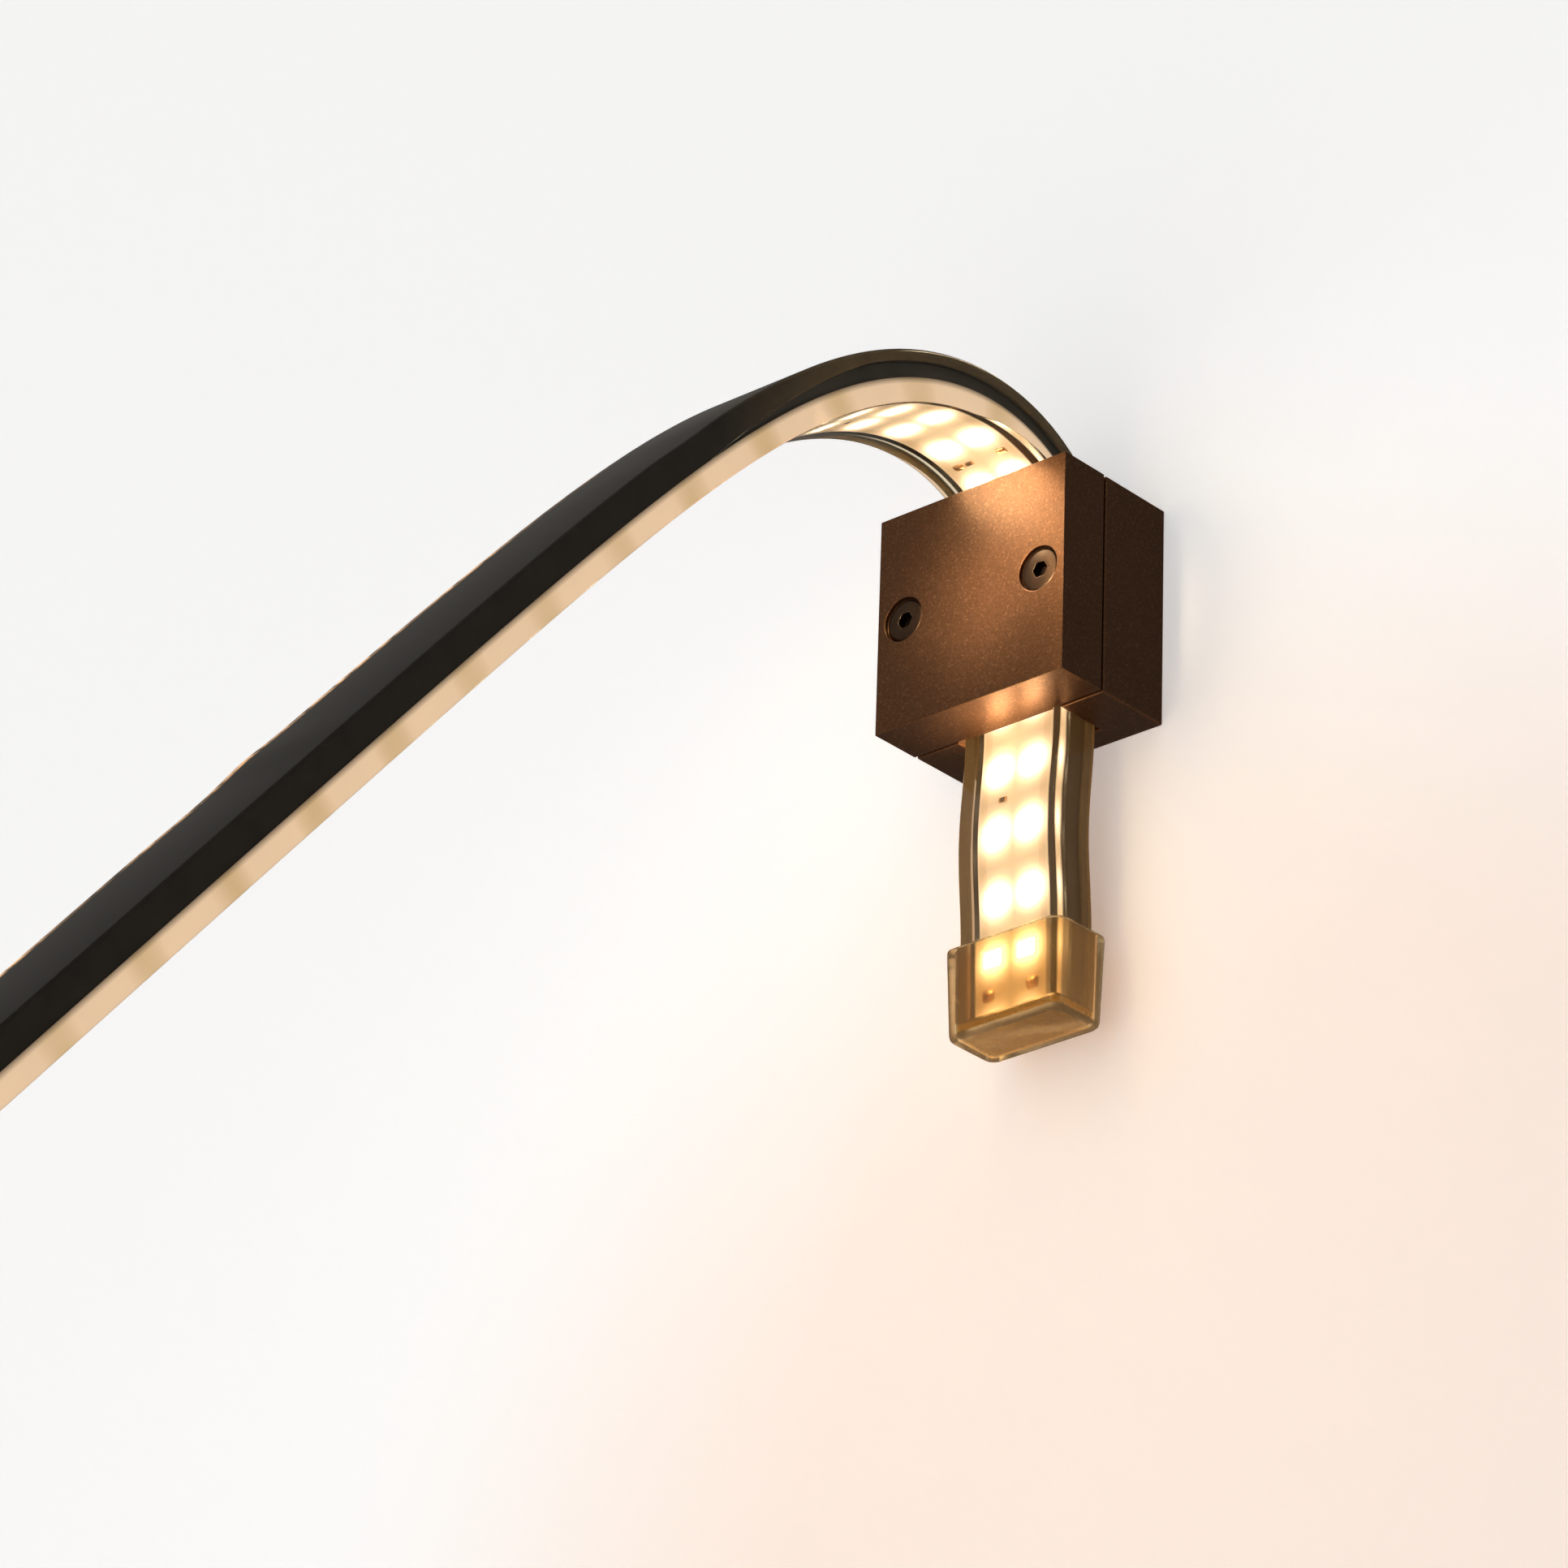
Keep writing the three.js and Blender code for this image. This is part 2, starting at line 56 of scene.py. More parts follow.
# The strip's route, as in the CAD source
STRIP_AXIS_Y = -7.6 * MM
TAIL_BOW = 0.8 * MM
BEND_START_Z = 12.5 * MM
TIGHT_RADIUS = 7 * MM
TIGHT_TURN = math.radians(47.5)
FINAL_SLOPE = math.radians(49.4)
BAND_LENGTH = 24.8 * MM
RUN_LENGTH = 272 * MM
PATH_STEP = 0.25 * MM
CAP_OVERLAP = 9.9 * MM
STATION_TURN = math.radians(2)
STATION_SPACING = 2 * MM

# The strip's section, from the middle of its thickness towards the lit face
STRIP_HALF_WIDTH = 7.8 * MM
STRIP_HALF_THICKNESS = 3.44 * MM
STRIP_CORNER = 0.45 * MM
CORE_HALF_WIDTH = 6.5 * MM
CORE_BACK, CORE_FRONT = -1.9 * MM, 0.75 * MM
RIBBON_BACK, RIBBON_FRONT = 0.8 * MM, 1.05 * MM
RIBBON_HALF_WIDTH = 5.5 * MM
SKIN_HALF_WIDTH, SKIN_BACK = 7.3 * MM, -3.1 * MM
SKIN_DEEPENS_FROM, SKIN_DEEPENS_OVER = 110 * MM, 40 * MM
WIRE_X = 3.4 * MM
END_SKIN = 0.15 * MM  # clear plastic beyond the ends of the inner layers

# Lumps and dents in the strip's back: (distance, spread, side it is on, height)
HANDLED = [
    (231 * MM, 5 * MM, -1, 0.24 * MM),
    (242 * MM, 8 * MM, -1, -0.12 * MM),
    (151 * MM, 6 * MM, 1, -0.16 * MM),
]

# LEDs: two rows, counted from the cut end of the tail
LED_PITCH = 8.65 * MM
FIRST_LED = 7.4 * MM
LED_ROW_X = 2.6 * MM
LED_GLOW_SPREAD = 2.25 * MM
RESISTOR_EVERY, PAD_EVERY = 3, 8  # one for each this many LED pitches

# Light that the strip's side walls and its left back corner let out
GLOW_DULL = 242 * MM  # where the side wall's light is dull, and every second LED pitch from there
GLOW_FROM, GLOW_FULL = 72 * MM, 92 * MM
GLOW_LOW, GLOW_HIGH = 0.3 * MM, 3.4 * MM
GLOW_X, GLOW_THICKNESS = 7.5 * MM, 0.12 * MM
EDGE_LIGHT_FROM, EDGE_LIGHT_FADE = 143 * MM, 20 * MM
EDGE_LIGHT_X, EDGE_LIGHT_HEIGHT = -7.0 * MM, -3.21 * MM

# The clamp block
STRIP_CLEARANCE = 0.35 * MM
TAPPED_RADIUS, TAPPED_END_Y = 1.5 * MM, -3 * MM
WALL_HOLE_RADIUS, WALL_HOLE_Z = 1.7 * MM, 11.4 * MM
PLATE_THICKNESS = 7.6 * MM
TONGUE_HALF_WIDTH, TONGUE_TOP = 6.9 * MM, 11.5 * MM

# End caps
CAP_WALL = 1.5 * MM
CAP_PLAY = 0.08 * MM
CAP_LIP = 0.25 * MM
CAP_TAPER = 0.4 * MM

# Small bodies as rounded rectangles (half x, half y, corner, height), in millimetres
LED_SECTIONS = [
    (1.75, 1.4, 0.15, 0.0), (1.75, 1.4, 0.15, 0.55), (1.68, 1.33, 0.2, 0.62), (1.4, 1.1, 0.3, 0.62),
    (1.3, 1.0, 0.3, 0.5)]
PHOSPHOR_SECTIONS = [(1.3, 1.0, 0.3, 0.505), (1.28, 0.98, 0.3, 0.56), (0.9, 0.7, 0.3, 0.6)]
RESISTOR_SECTIONS = [(0.3, 0.5, 0.06, 0.0), (0.3, 0.5, 0.06, 0.3), (0.26, 0.46, 0.06, 0.35)]
RESISTOR_END_SECTIONS = [(0.32, 0.12, 0.04, 0.0), (0.32, 0.12, 0.04, 0.33), (0.28, 0.1, 0.04, 0.37)]
PAD_SECTIONS = [(0.75, 0.55, 0.2, 0.0), (0.7, 0.5, 0.25, 0.16), (0.4, 0.3, 0.2, 0.28)]
SOLDER_SECTIONS = [
    (0.95, 0.8, 0.5, 0.0), (0.9, 0.75, 0.5, 0.15), (0.6, 0.5, 0.4, 0.4), (0.25, 0.2, 0.15, 0.5)]
SOLDER_LEG_SECTIONS = [(0.25, 0.25, 0.2, -1.3), (0.25, 0.25, 0.2, 0.0)]

# A clamp screw's turned outline: (radius, depth below the top of its head), in millimetres
SCREW_OUTLINE = [
    (0.5, 0.0), (2.52, 0.0), (2.68, 0.05), (2.77, 0.14), (2.78, 0.3), (1.5, 1.62), (1.5, 13.4), (1.0, 13.95)]

# The wall's own light, and the warm pool that the strip throws on the wall
WALL_OWN_LIGHT = 0.575
POOL_CENTRE = (0.035, 0.0, -0.145)
POOL_INNER, POOL_OUTER = 0.085, 0.17

BLOCK_LOW, BLOCK_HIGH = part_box("wall_block")
PLATE_LOW, PLATE_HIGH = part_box("front_plate")
SCREW_X = (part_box("clamp_screw_right")[0].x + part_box("clamp_screw_right")[1].x) / 2
STRIP_END_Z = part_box("tail_sealant")[1].z + GAP


# ---------------------------------------------------------------- meshes

def new_object(name, mesh, material=None):
    """Links a mesh to the scene as an object with its material."""
    made = bpy.data.objects.new(name, mesh)
    bpy.context.scene.collection.objects.link(made)
    if material:
        mesh.materials.append(material)
    return made


def from_bmesh(name, bm, material=None, sharp=35):
    """Turns a bmesh into an object, smooth except at edges sharper than the angle in degrees."""
    bmesh.ops.remove_doubles(bm, verts=bm.verts, dist=1e-7)
    bmesh.ops.recalc_face_normals(bm, faces=bm.faces)
    mesh = bpy.data.meshes.new(name)
    bm.to_mesh(mesh)
    bm.free()
    mesh.shade_smooth()
    mesh.set_sharp_from_angle(angle=math.radians(sharp))
    return new_object(name, mesh, material)


def rounded_rectangle(half_x, half_y, radius, steps=4):
    """Points of a rounded rectangle, anticlockwise from its right side."""
    points = []
    for quarter, (sx, sy) in enumerate(((1, 1), (-1, 1), (-1, -1), (1, -1))):
        for step in range(steps + 1):
            angle = (quarter + step / steps) * math.pi / 2
            x = sx * (half_x - radius) + radius * math.cos(angle)
            y = sy * (half_y - radius) + radius * math.sin(angle)
            points.append((x, y))
    return points


def loft(bm, rings):
    """Joins rings of points, all with the same count, with quads, and closes both ends."""
    made = [[bm.verts.new(point) for point in ring] for ring in rings]
    count = len(rings[0])
    for low, high in zip(made, made[1:]):
        for i in range(count):
            j = (i + 1) % count
            bm.faces.new((low[i], low[j], high[j], high[i]))
    bm.faces.new(made[0][::-1])
    bm.faces.new(made[-1])


def stack(bm, sections, place):
    """A small moulded body at a place: sections in millimetres, joined in order."""
    rings = []
    for half_x, half_y, corner, height in sections:
        outline = rounded_rectangle(half_x * MM, half_y * MM, corner * MM, 3)
        rings.append([place @ Vector((x, y, height * MM)) for x, y in outline])
    loft(bm, rings)


def lathe(bm, profile, centre, segments=72):
    """A turned body about an axis along Y: profile points are (radius, y)."""
    rings = []
    for radius, y in profile:
        ring = []
        for i in range(segments):
            angle = 2 * math.pi * i / segments
            ring.append(Vector((centre.x + radius * math.cos(angle), y, centre.z + radius * math.sin(angle))))
        rings.append(ring)
    loft(bm, rings)


def unfinished(bm):
    """A blank or a cutter, which gets its name and materials once it is machined, if it is kept."""
    return from_bmesh("cutter", bm)


def box_blank(low, high):
    """A plain box as a blank or a cutter."""
    bm = bmesh.new()
    low, high = Vector(low), Vector(high)
    middle, size = (low + high) / 2, high - low
    bmesh.ops.create_cube(bm, size=1, matrix=Matrix.Translation(middle) @ Matrix.Diagonal((*size, 1)))
    return unfinished(bm)


def turned_blank(profile, x, z=0.0, segments=72):
    """A turned blank or cutter about an axis along Y."""
    bm = bmesh.new()
    lathe(bm, profile, Vector((x, 0, z)), segments)
    return unfinished(bm)


def with_modifiers(blank):
    """Replaces an object's mesh by the result of its modifiers."""
    depsgraph = bpy.context.evaluated_depsgraph_get()
    mesh = bpy.data.meshes.new_from_object(blank.evaluated_get(depsgraph))
    blank.modifiers.clear()
    blank.data = mesh
    return blank


def machined(name, blank, joined, cutters, material, wear_and_painted_highlight, bevel=0.22 * MM):
    """Joins and cuts a blank, breaks its edges and gives the broken edges the second material, a lighter tone
    that is a painted highlight.
    """
    blank.name = blank.data.name = name
    for other, operation in [(o, "UNION") for o in joined] + [(o, "DIFFERENCE") for o in cutters]:
        modifier = blank.modifiers.new("cut", "BOOLEAN")
        modifier.operation, modifier.solver, modifier.object = operation, "EXACT", other
    with_modifiers(blank)
    for other in joined + cutters:
        bpy.data.objects.remove(other)
    blank.data.materials.clear()
    blank.data.materials.append(material)
    blank.data.materials.append(wear_and_painted_highlight)
    for face in blank.data.polygons:
        face.material_index = 0
    # The bevel faces get material 1, the painted edge highlight.
    modifier = blank.modifiers.new("edges", "BEVEL")
    modifier.width, modifier.segments, modifier.limit_method = bevel, 3, "ANGLE"
    modifier.angle_limit, modifier.harden_normals, modifier.material = math.radians(50), True, 1
    blank.data.shade_smooth()
    return with_modifiers(blank)


# ---------------------------------------------------------------- the strip's route

def strip_route():
    """Stations along the strip's middle line: (distance from the tail's cut end, y, z, heading)."""
    cap_mouth = STRIP_END_Z + CAP_OVERLAP
    free_tail = BLOCK_LOW.z - cap_mouth
    stations = [(0.0, STRIP_AXIS_Y, STRIP_END_Z, math.pi / 2)]
    covered_steps, bow_steps, held_steps = 4, 24, 10
    for step in range(1, covered_steps):
        stations.append((CAP_OVERLAP * step / covered_steps, STRIP_AXIS_Y,
                         STRIP_END_Z + CAP_OVERLAP * step / covered_steps, math.pi / 2))
    for step in range(bow_steps + 1):
        phase = 2 * math.pi * step / bow_steps
        y = STRIP_AXIS_Y - TAIL_BOW * (1 - math.cos(phase)) / 2
        lean = TAIL_BOW * math.pi * math.sin(phase) / free_tail
        z = cap_mouth + free_tail * step / bow_steps
        stations.append((z - STRIP_END_Z, y, z, math.pi / 2 - math.atan(lean)))
    for step in range(1, held_steps + 1):
        z = BLOCK_LOW.z + (BEND_START_Z - BLOCK_LOW.z) * step / held_steps
        stations.append((z - STRIP_END_Z, STRIP_AXIS_Y, z, math.pi / 2))
    distance, y, z, heading = stations[-1]
    tight_end = math.pi / 2 - TIGHT_TURN
    since = 0.0
    for _ in range(round(RUN_LENGTH / PATH_STEP)):
        left = heading + FINAL_SLOPE
        curvature = 1 / TIGHT_RADIUS if heading > tight_end else 2 / BAND_LENGTH * math.sin(left / 2)
        middle = heading - curvature * PATH_STEP / 2
        y -= PATH_STEP * math.cos(middle)
        z += PATH_STEP * math.sin(middle)
        heading -= curvature * PATH_STEP
        distance += PATH_STEP
        since += PATH_STEP
        if stations[-1][3] - heading > STATION_TURN or since >= STATION_SPACING:
            stations.append((distance, y, z, heading))
            since = 0.0
    if since:
        stations.append((distance, y, z, heading))
    return stations


ROUTE = strip_route()
STRIP_LENGTH = ROUTE[-1][0]


def frame_at(station):
    """Place of a station: local X across, local Y along the strip, local Z out of the lit face."""
    _, y, z, heading = station
    face = Vector((0, -math.sin(heading), -math.cos(heading)))
    across = Vector((1, 0, 0))
    axes = Matrix((across, face.cross(across), face)).transposed().to_4x4()
    return Matrix.Translation((0, y, z)) @ axes


def place_on_strip(distance, x=0.0, height=0.0):
    """Where something sits on the strip, a distance from the tail's cut end."""
    for before, after in zip(ROUTE, ROUTE[1:]):
        if distance <= after[0]:
            break
    share = (distance - before[0]) / (after[0] - before[0])
    station = [a + (b - a) * share for a, b in zip(before, after)]
    return frame_at(station) @ Matrix.Translation((x, 0, height))


def sweep(name, section, material, stations=ROUTE):
    """Sweeps a closed section along the strip: section(distance) gives its (across, height) points.
    The UV map holds the distance along the strip and the place across it, in metres."""
    bm = bmesh.new()
    rings = []
    for station in stations:
        place = frame_at(station)
        rings.append([place @ Vector((x, 0, height)) for x, height in section(station[0])])
    loft(bm, rings)
    piece = from_bmesh(name, bm, material)
    layer = piece.data.uv_layers.new(name="strip")
    outline = section(0.0)
    for loop in piece.data.loops:
        ring, corner = divmod(loop.vertex_index, len(outline))
        layer.data[loop.index].uv = (stations[ring][0], outline[corner][0])
    return piece


def flat_layer(half_width, back, front, corner, steps=2):
    """The section of one layer of the strip, between two heights from the middle of its thickness."""
    middle, half = (back + front) / 2, (front - back) / 2
    return [(x, middle + y) for x, y in rounded_rectangle(half_width, half, corner, steps)]


def jacket_section(distance):
    """The strip's outline, with lumps and dents in its back where it was handled."""
    outline = rounded_rectangle(STRIP_HALF_WIDTH, STRIP_HALF_THICKNESS, STRIP_CORNER, 5)
    shaped = []
    for x, height in outline:
        if height < 0:
            for place, spread, side, size in HANDLED:
                near = math.exp(-((distance - place) / spread) ** 2)
                height -= size * near * max(0.0, 0.5 + side * x / STRIP_HALF_WIDTH / 2)
        shaped.append((x, height))
    return shaped


def skin_section(distance):
    """The back skin's outline. Along the arm it also hides the core's sides."""
    share = min(1.0, max(0.0, (distance - SKIN_DEEPENS_FROM) / SKIN_DEEPENS_OVER))
    front = CORE_BACK - 0.05 * MM + (CORE_FRONT - 0.25 * MM - CORE_BACK) * share
    return flat_layer(SKIN_HALF_WIDTH, SKIN_BACK, front, 0.3 * MM)


# ---------------------------------------------------------------- materials

class Shader:
    """A material with a Principled shader, and short calls to add nodes to it."""

    def __init__(self, name):
        self.material = bpy.data.materials.new(name)
        self.material.use_nodes = True
        self.tree = self.material.node_tree
        self.surface = self.tree.nodes["Principled BSDF"]
        self.output = self.tree.nodes["Material Output"]

    def add(self, kind, inputs=None, **settings):
        node = self.tree.nodes.new(kind)
        for key, value in settings.items():
            setattr(node, key, value)
        for key, value in (inputs or {}).items():
            self.put(node, key, value)
        return node

    def put(self, node, key, value):
        socket = node.inputs[key]
        if isinstance(value, bpy.types.NodeSocket):
            self.tree.links.new(value, socket)
        else:
            socket.default_value = value

    def set(self, **values):
        for key, value in values.items():
            self.put(self.surface, key.replace("_", " "), value)

    def math(self, operation, *values):
        node = self.add("ShaderNodeMath", operation=operation)
        for i, value in enumerate(values):
            self.put(node, i, value)
        return node.outputs[0]

    def place(self, scale=(1, 1, 1), offset=(0, 0, 0)):
        """Coordinates in the object's frame, in metres, scaled by axis after the offset."""
        coordinates = self.add("ShaderNodeTexCoord").outputs["Object"]
        moved = self.add("ShaderNodeVectorMath", {0: coordinates, 1: offset}, operation="SUBTRACT").outputs[0]
        return self.add("ShaderNodeVectorMath", {0: moved, 1: scale}, operation="MULTIPLY").outputs[0]

    def strip_place(self):
        """(distance along the strip, place across it), in metres."""
        uv = self.add("ShaderNodeUVMap", uv_map="strip").outputs[0]
        split = self.add("ShaderNodeSeparateXYZ", {0: uv})
        return split.outputs[0], split.outputs[1]

    def noise(self, vector, scale, detail=2.0, roughness=0.5):
        node = self.add("ShaderNodeTexNoise", {
            "Vector": vector, "Scale": scale, "Detail": detail, "Roughness": roughness})
        return node.outputs["Fac"]

    def range(self, value, low, high, to_low, to_high):
        node = self.add("ShaderNodeMapRange", {
            "Value": value, "From Min": low, "From Max": high, "To Min": to_low, "To Max": to_high})
        return node.outputs[0]

    def mix(self, factor, a, b):
        node = self.add("ShaderNodeMix", {"Factor": factor}, data_type="RGBA")
        self.put(node, 6, a)
        self.put(node, 7, b)
        return node.outputs[2]

    def stretched(self, along, across, along_scale, across_scale):
        """Coordinates on the strip, scaled by their own amounts."""
        first = self.math("MULTIPLY", along, along_scale)
        second = self.math("MULTIPLY", across, across_scale)
        return self.add("ShaderNodeCombineXYZ", {0: first, 1: second}).outputs[0]

    def bump(self, height, strength, distance):
        node = self.add("ShaderNodeBump", {"Height": height, "Strength": strength, "Distance": distance})
        return node.outputs[0]


def anodised(name, tone, rough, grain=1.0):
    """Bead-blasted, bronze anodised aluminium: a fine even grain with a few bright facets."""
    s = Shader(name)
    place = s.place()
    cells = s.add("ShaderNodeTexVoronoi", {"Vector": place, "Scale": 5400.0}).outputs["Color"]
    pick = s.add("ShaderNodeSeparateXYZ", {0: cells})
    facet = s.range(pick.outputs[0], 0.85, 1.0, 0.0, 1.0)
    cloud = s.noise(place, 70.0, 3.0)
    fine = s.noise(place, 3600.0, 2.0, 0.6)
    dark = [c * 0.94 for c in tone] + [1]
    light = [c * 1.06 for c in tone] + [1]
    base = s.mix(s.range(cloud, 0.3, 0.7, 0.0, 1.0), dark, light)
    grains = s.range(fine, 0.3, 0.7, 0.82, 1.18)
    scaled = s.add("ShaderNodeVectorMath", {0: base, "Scale": grains}, operation="SCALE").outputs[0]
    bright = [min(1, c * 1.9 + 0.01) for c in tone] + [1]
    fine_rough = s.range(fine, 0.3, 0.7, rough, rough + 0.02)
    cloud_rough = s.range(cloud, 0.3, 0.7, -0.01, 0.03)
    relief = s.math("ADD", fine, s.math("MULTIPLY", pick.outputs[1], 0.3))
    s.set(
        Base_Color=s.mix(s.math("MULTIPLY", facet, 0.7 * grain), scaled, bright),
        Metallic=0.92,
        Roughness=s.math("ADD", fine_rough, cloud_rough),
        Normal=s.bump(relief, 0.03 * grain, 0.01 * MM),
    )
    return s.material


def turned_metal(name, tone, centre, rough):
    """Plated steel with fine turning rings about a centre, axis along Y."""
    s = Shader(name)
    place = s.place(offset=centre)
    split = s.add("ShaderNodeSeparateXYZ", {0: place})
    across, up = split.outputs[0], split.outputs[2]
    radius = s.math("SQRT", s.math("ADD", s.math("MULTIPLY", across, across), s.math("MULTIPLY", up, up)))
    turning = {"W": radius, "Scale": 9000.0, "Detail": 2.0}
    rings = s.add("ShaderNodeTexNoise", turning, noise_dimensions="1D").outputs["Fac"]
    smudge = s.noise(s.place(), 900.0, 3.0)
    dark = [c * 0.85 for c in tone] + [1]
    s.set(
        Base_Color=s.mix(s.range(smudge, 0.35, 0.7, 0.0, 1.0), [*tone, 1], dark),
        Metallic=1.0,
        Roughness=s.range(smudge, 0.3, 0.7, rough - 0.03, rough + 0.06),
        Normal=s.bump(s.math("ADD", rings, s.math("MULTIPLY", smudge, 0.2)), 0.03, 0.01 * MM),
    )
    return s.material


def drawn_lines(s):
    """The fine lines that the extrusion die leaves along the strip."""
    return s.noise(s.stretched(*s.strip_place(), 30.0, 1500.0), 1.0, 3.0)


def clear_plastic(name, tint, rough, wave, dust=0.5, scatter=0.0, drawn=False):
    """Soft clear PVC: shallow waves, scuffs and dust, and drawn lines on the strip.
    Lamps shine through it, and it scatters a little of them."""
    s = Shader(name)
    place = s.place()
    waves = s.noise(place, 120.0, 2.0)
    scuff = s.noise(place, 700.0, 4.0, 0.65)
    specks = s.add("ShaderNodeTexVoronoi", {"Vector": place, "Scale": 900.0}).outputs["Distance"]
    speck = s.range(specks, 0.06, 0.1, 1.0, 0.0)
    patch = s.range(s.noise(place, 60.0, 2.0), 0.52, 0.68, 0.0, dust)
    wear_and_painted_highlight = s.math("MULTIPLY", s.range(scuff, 0.5, 0.75, 0.0, 1.0), patch)
    haze = s.math("MAXIMUM", wear_and_painted_highlight, s.math("MULTIPLY", speck, patch))
    relief = s.math("ADD", waves, s.math("MULTIPLY", scuff, 0.06))
    if drawn:
        relief = s.math("ADD", relief, s.math("MULTIPLY", drawn_lines(s), 0.2))
        scatter = s.range(s.strip_place()[0], 50 * MM, 75 * MM, scatter, 0.0)
    darker = [c * 0.94 for c in tint] + [1]
    s.set(
        Base_Color=s.mix(s.range(waves, 0.3, 0.7, 0.0, 1.0), [*tint, 1], darker),
        Roughness=s.math("ADD", rough, s.math("MULTIPLY", haze, 0.4)),
        IOR=1.5,
        Transmission_Weight=1.0,
        Emission_Color=(1.0, 0.48, 0.14, 1),
        Emission_Strength=scatter,
        Normal=s.bump(relief, wave, 0.4 * MM),
    )
    lamp = s.add("ShaderNodeLightPath").outputs["Is Shadow Ray"]
    through = s.add("ShaderNodeBsdfTransparent", {"Color": [c ** 0.5 for c in tint] + [1]})
    both = s.add("ShaderNodeMixShader", {0: lamp, 1: s.surface.outputs[0], 2: through.outputs[0]})
    s.put(s.output, "Surface", both.outputs[0])
    return s.material


def black_plastic(name):
    """The strip's black layer: pulled lines along it and a dull sheen."""
    s = Shader(name)
    streak = drawn_lines(s)
    cloud = s.noise(s.place(), 150.0, 2.0)
    pulled = s.range(streak, 0.35, 0.65, 0.0, 1.0)
    s.set(
        Base_Color=s.mix(pulled, (0.006, 0.005, 0.004, 1), (0.02, 0.016, 0.012, 1)),
        Roughness=s.range(cloud, 0.3, 0.7, 0.35, 0.55),
        Normal=s.bump(streak, 0.3, 0.05 * MM),
    )
    return s.material


def led_glow(s):
    """How near a point of the strip is to an LED: 1 on it, falling off around it, from the strip's UV map."""
    along, across = s.strip_place()
    pitches = s.math("DIVIDE", s.math("SUBTRACT", along, FIRST_LED), LED_PITCH)
    phase = s.math("FRACT", s.math("ADD", pitches, 0.5))
    along_off = s.math("MULTIPLY", s.math("SUBTRACT", phase, 0.5), LED_PITCH)
    across_off = s.math("SUBTRACT", s.math("ABSOLUTE", across), LED_ROW_X)
    along_square = s.math("MULTIPLY", along_off, along_off)
    across_square = s.math("MULTIPLY", across_off, across_off)
    square = s.math("ADD", along_square, across_square)
    return s.math("EXPONENT", s.math("MULTIPLY", square, -1 / LED_GLOW_SPREAD ** 2))


def circuit_white(name):
    """The white flexible circuit, with copper tracks under its mask, lit by its own LEDs."""
    s = Shader(name)
    across = s.strip_place()[1]
    glow = led_glow(s)
    track_x, track_half_width = 4.6 * MM, 0.5 * MM
    from_track = s.math("ABSOLUTE", s.math("SUBTRACT", s.math("ABSOLUTE", across), track_x))
    track = s.math("LESS_THAN", from_track, track_half_width)
    mask = s.noise(s.place(), 600.0, 3.0)
    base = s.mix(s.math("MULTIPLY", track, 0.5), (0.64, 0.55, 0.43, 1), (0.54, 0.4, 0.27, 1))
    warm = s.mix(s.range(glow, 0.0, 0.6, 0.0, 1.0), (1.0, 0.74, 0.5, 1), (1.0, 0.95, 0.86, 1))
    s.set(
        Base_Color=base,
        Roughness=s.range(mask, 0.3, 0.7, 0.35, 0.55),
        Normal=s.bump(s.math("ADD", mask, track), 0.2, 0.05 * MM),
        Emission_Color=warm,
        Emission_Strength=s.math("ADD", s.math("MULTIPLY", glow, 3.4), 0.08),
    )
    return s.material


def light_source(name, colour, strength):
    """A lit part of an LED: the yellow phosphor window, or the body around it."""
    s = Shader(name)
    grain = s.noise(s.place(), 4000.0, 2.0)
    s.set(
        Base_Color=s.mix(grain, (0.9, 0.7, 0.25, 1), (0.95, 0.8, 0.4, 1)),
        Roughness=0.5,
        Emission_Color=(*colour, 1),
        Emission_Strength=strength,
    )
    return s.material


def moulded(name, tone, rough=0.45):
    """Plain moulded plastic with a fine spark-eroded texture."""
    s = Shader(name)
    fine = s.noise(s.place(), 2500.0, 3.0)
    cloud = s.noise(s.place(), 200.0, 2.0)
    s.set(
        Base_Color=s.mix(s.range(cloud, 0.3, 0.7, 0.0, 1.0), [*tone, 1], [c * 0.85 for c in tone] + [1]),
        Roughness=s.range(fine, 0.3, 0.7, rough - 0.08, rough + 0.08),
        Normal=s.bump(fine, 0.25, 0.03 * MM),
    )
    return s.material


def plain_metal(name, tone, rough=0.3):
    """Drawn or stamped metal with faint scratches."""
    s = Shader(name)
    scratch = s.noise(s.place(scale=(1, 1, 12)), 1200.0, 3.0)
    s.set(
        Base_Color=s.mix(s.range(scratch, 0.3, 0.7, 0.0, 1.0), [*tone, 1], [c * 0.75 for c in tone] + [1]),
        Metallic=1.0,
        Roughness=s.range(scratch, 0.3, 0.7, rough - 0.08, rough + 0.1),
        Normal=s.bump(scratch, 0.2, 0.02 * MM),
    )
    return s.material


def back_skin(name):
    """The clear layer over the black core's back: black along the arm, with olive light painted on it in the
    bend, where the same skin shows lit.
    """
    s = Shader(name)
    along = s.strip_place()[0]
    cloud = s.noise(s.place(), 300.0, 3.0)
    # Painted light: olive in the bend, fading to the skin's black along the arm; the extruded skin is the
    # same all along.
    depth = s.range(along, 115 * MM, 145 * MM, 1.0, 0.0)
    olive = s.mix(cloud, (0.15, 0.115, 0.065, 1), (0.1, 0.078, 0.046, 1))
    s.set(
        Base_Color=s.mix(depth, (0.005, 0.0045, 0.004, 1), olive),
        Specular_IOR_Level=0.2,
        Roughness=s.range(cloud, 0.3, 0.7, 0.35, 0.5),
        Normal=s.bump(cloud, 0.2, 0.05 * MM),
    )
    return s.material


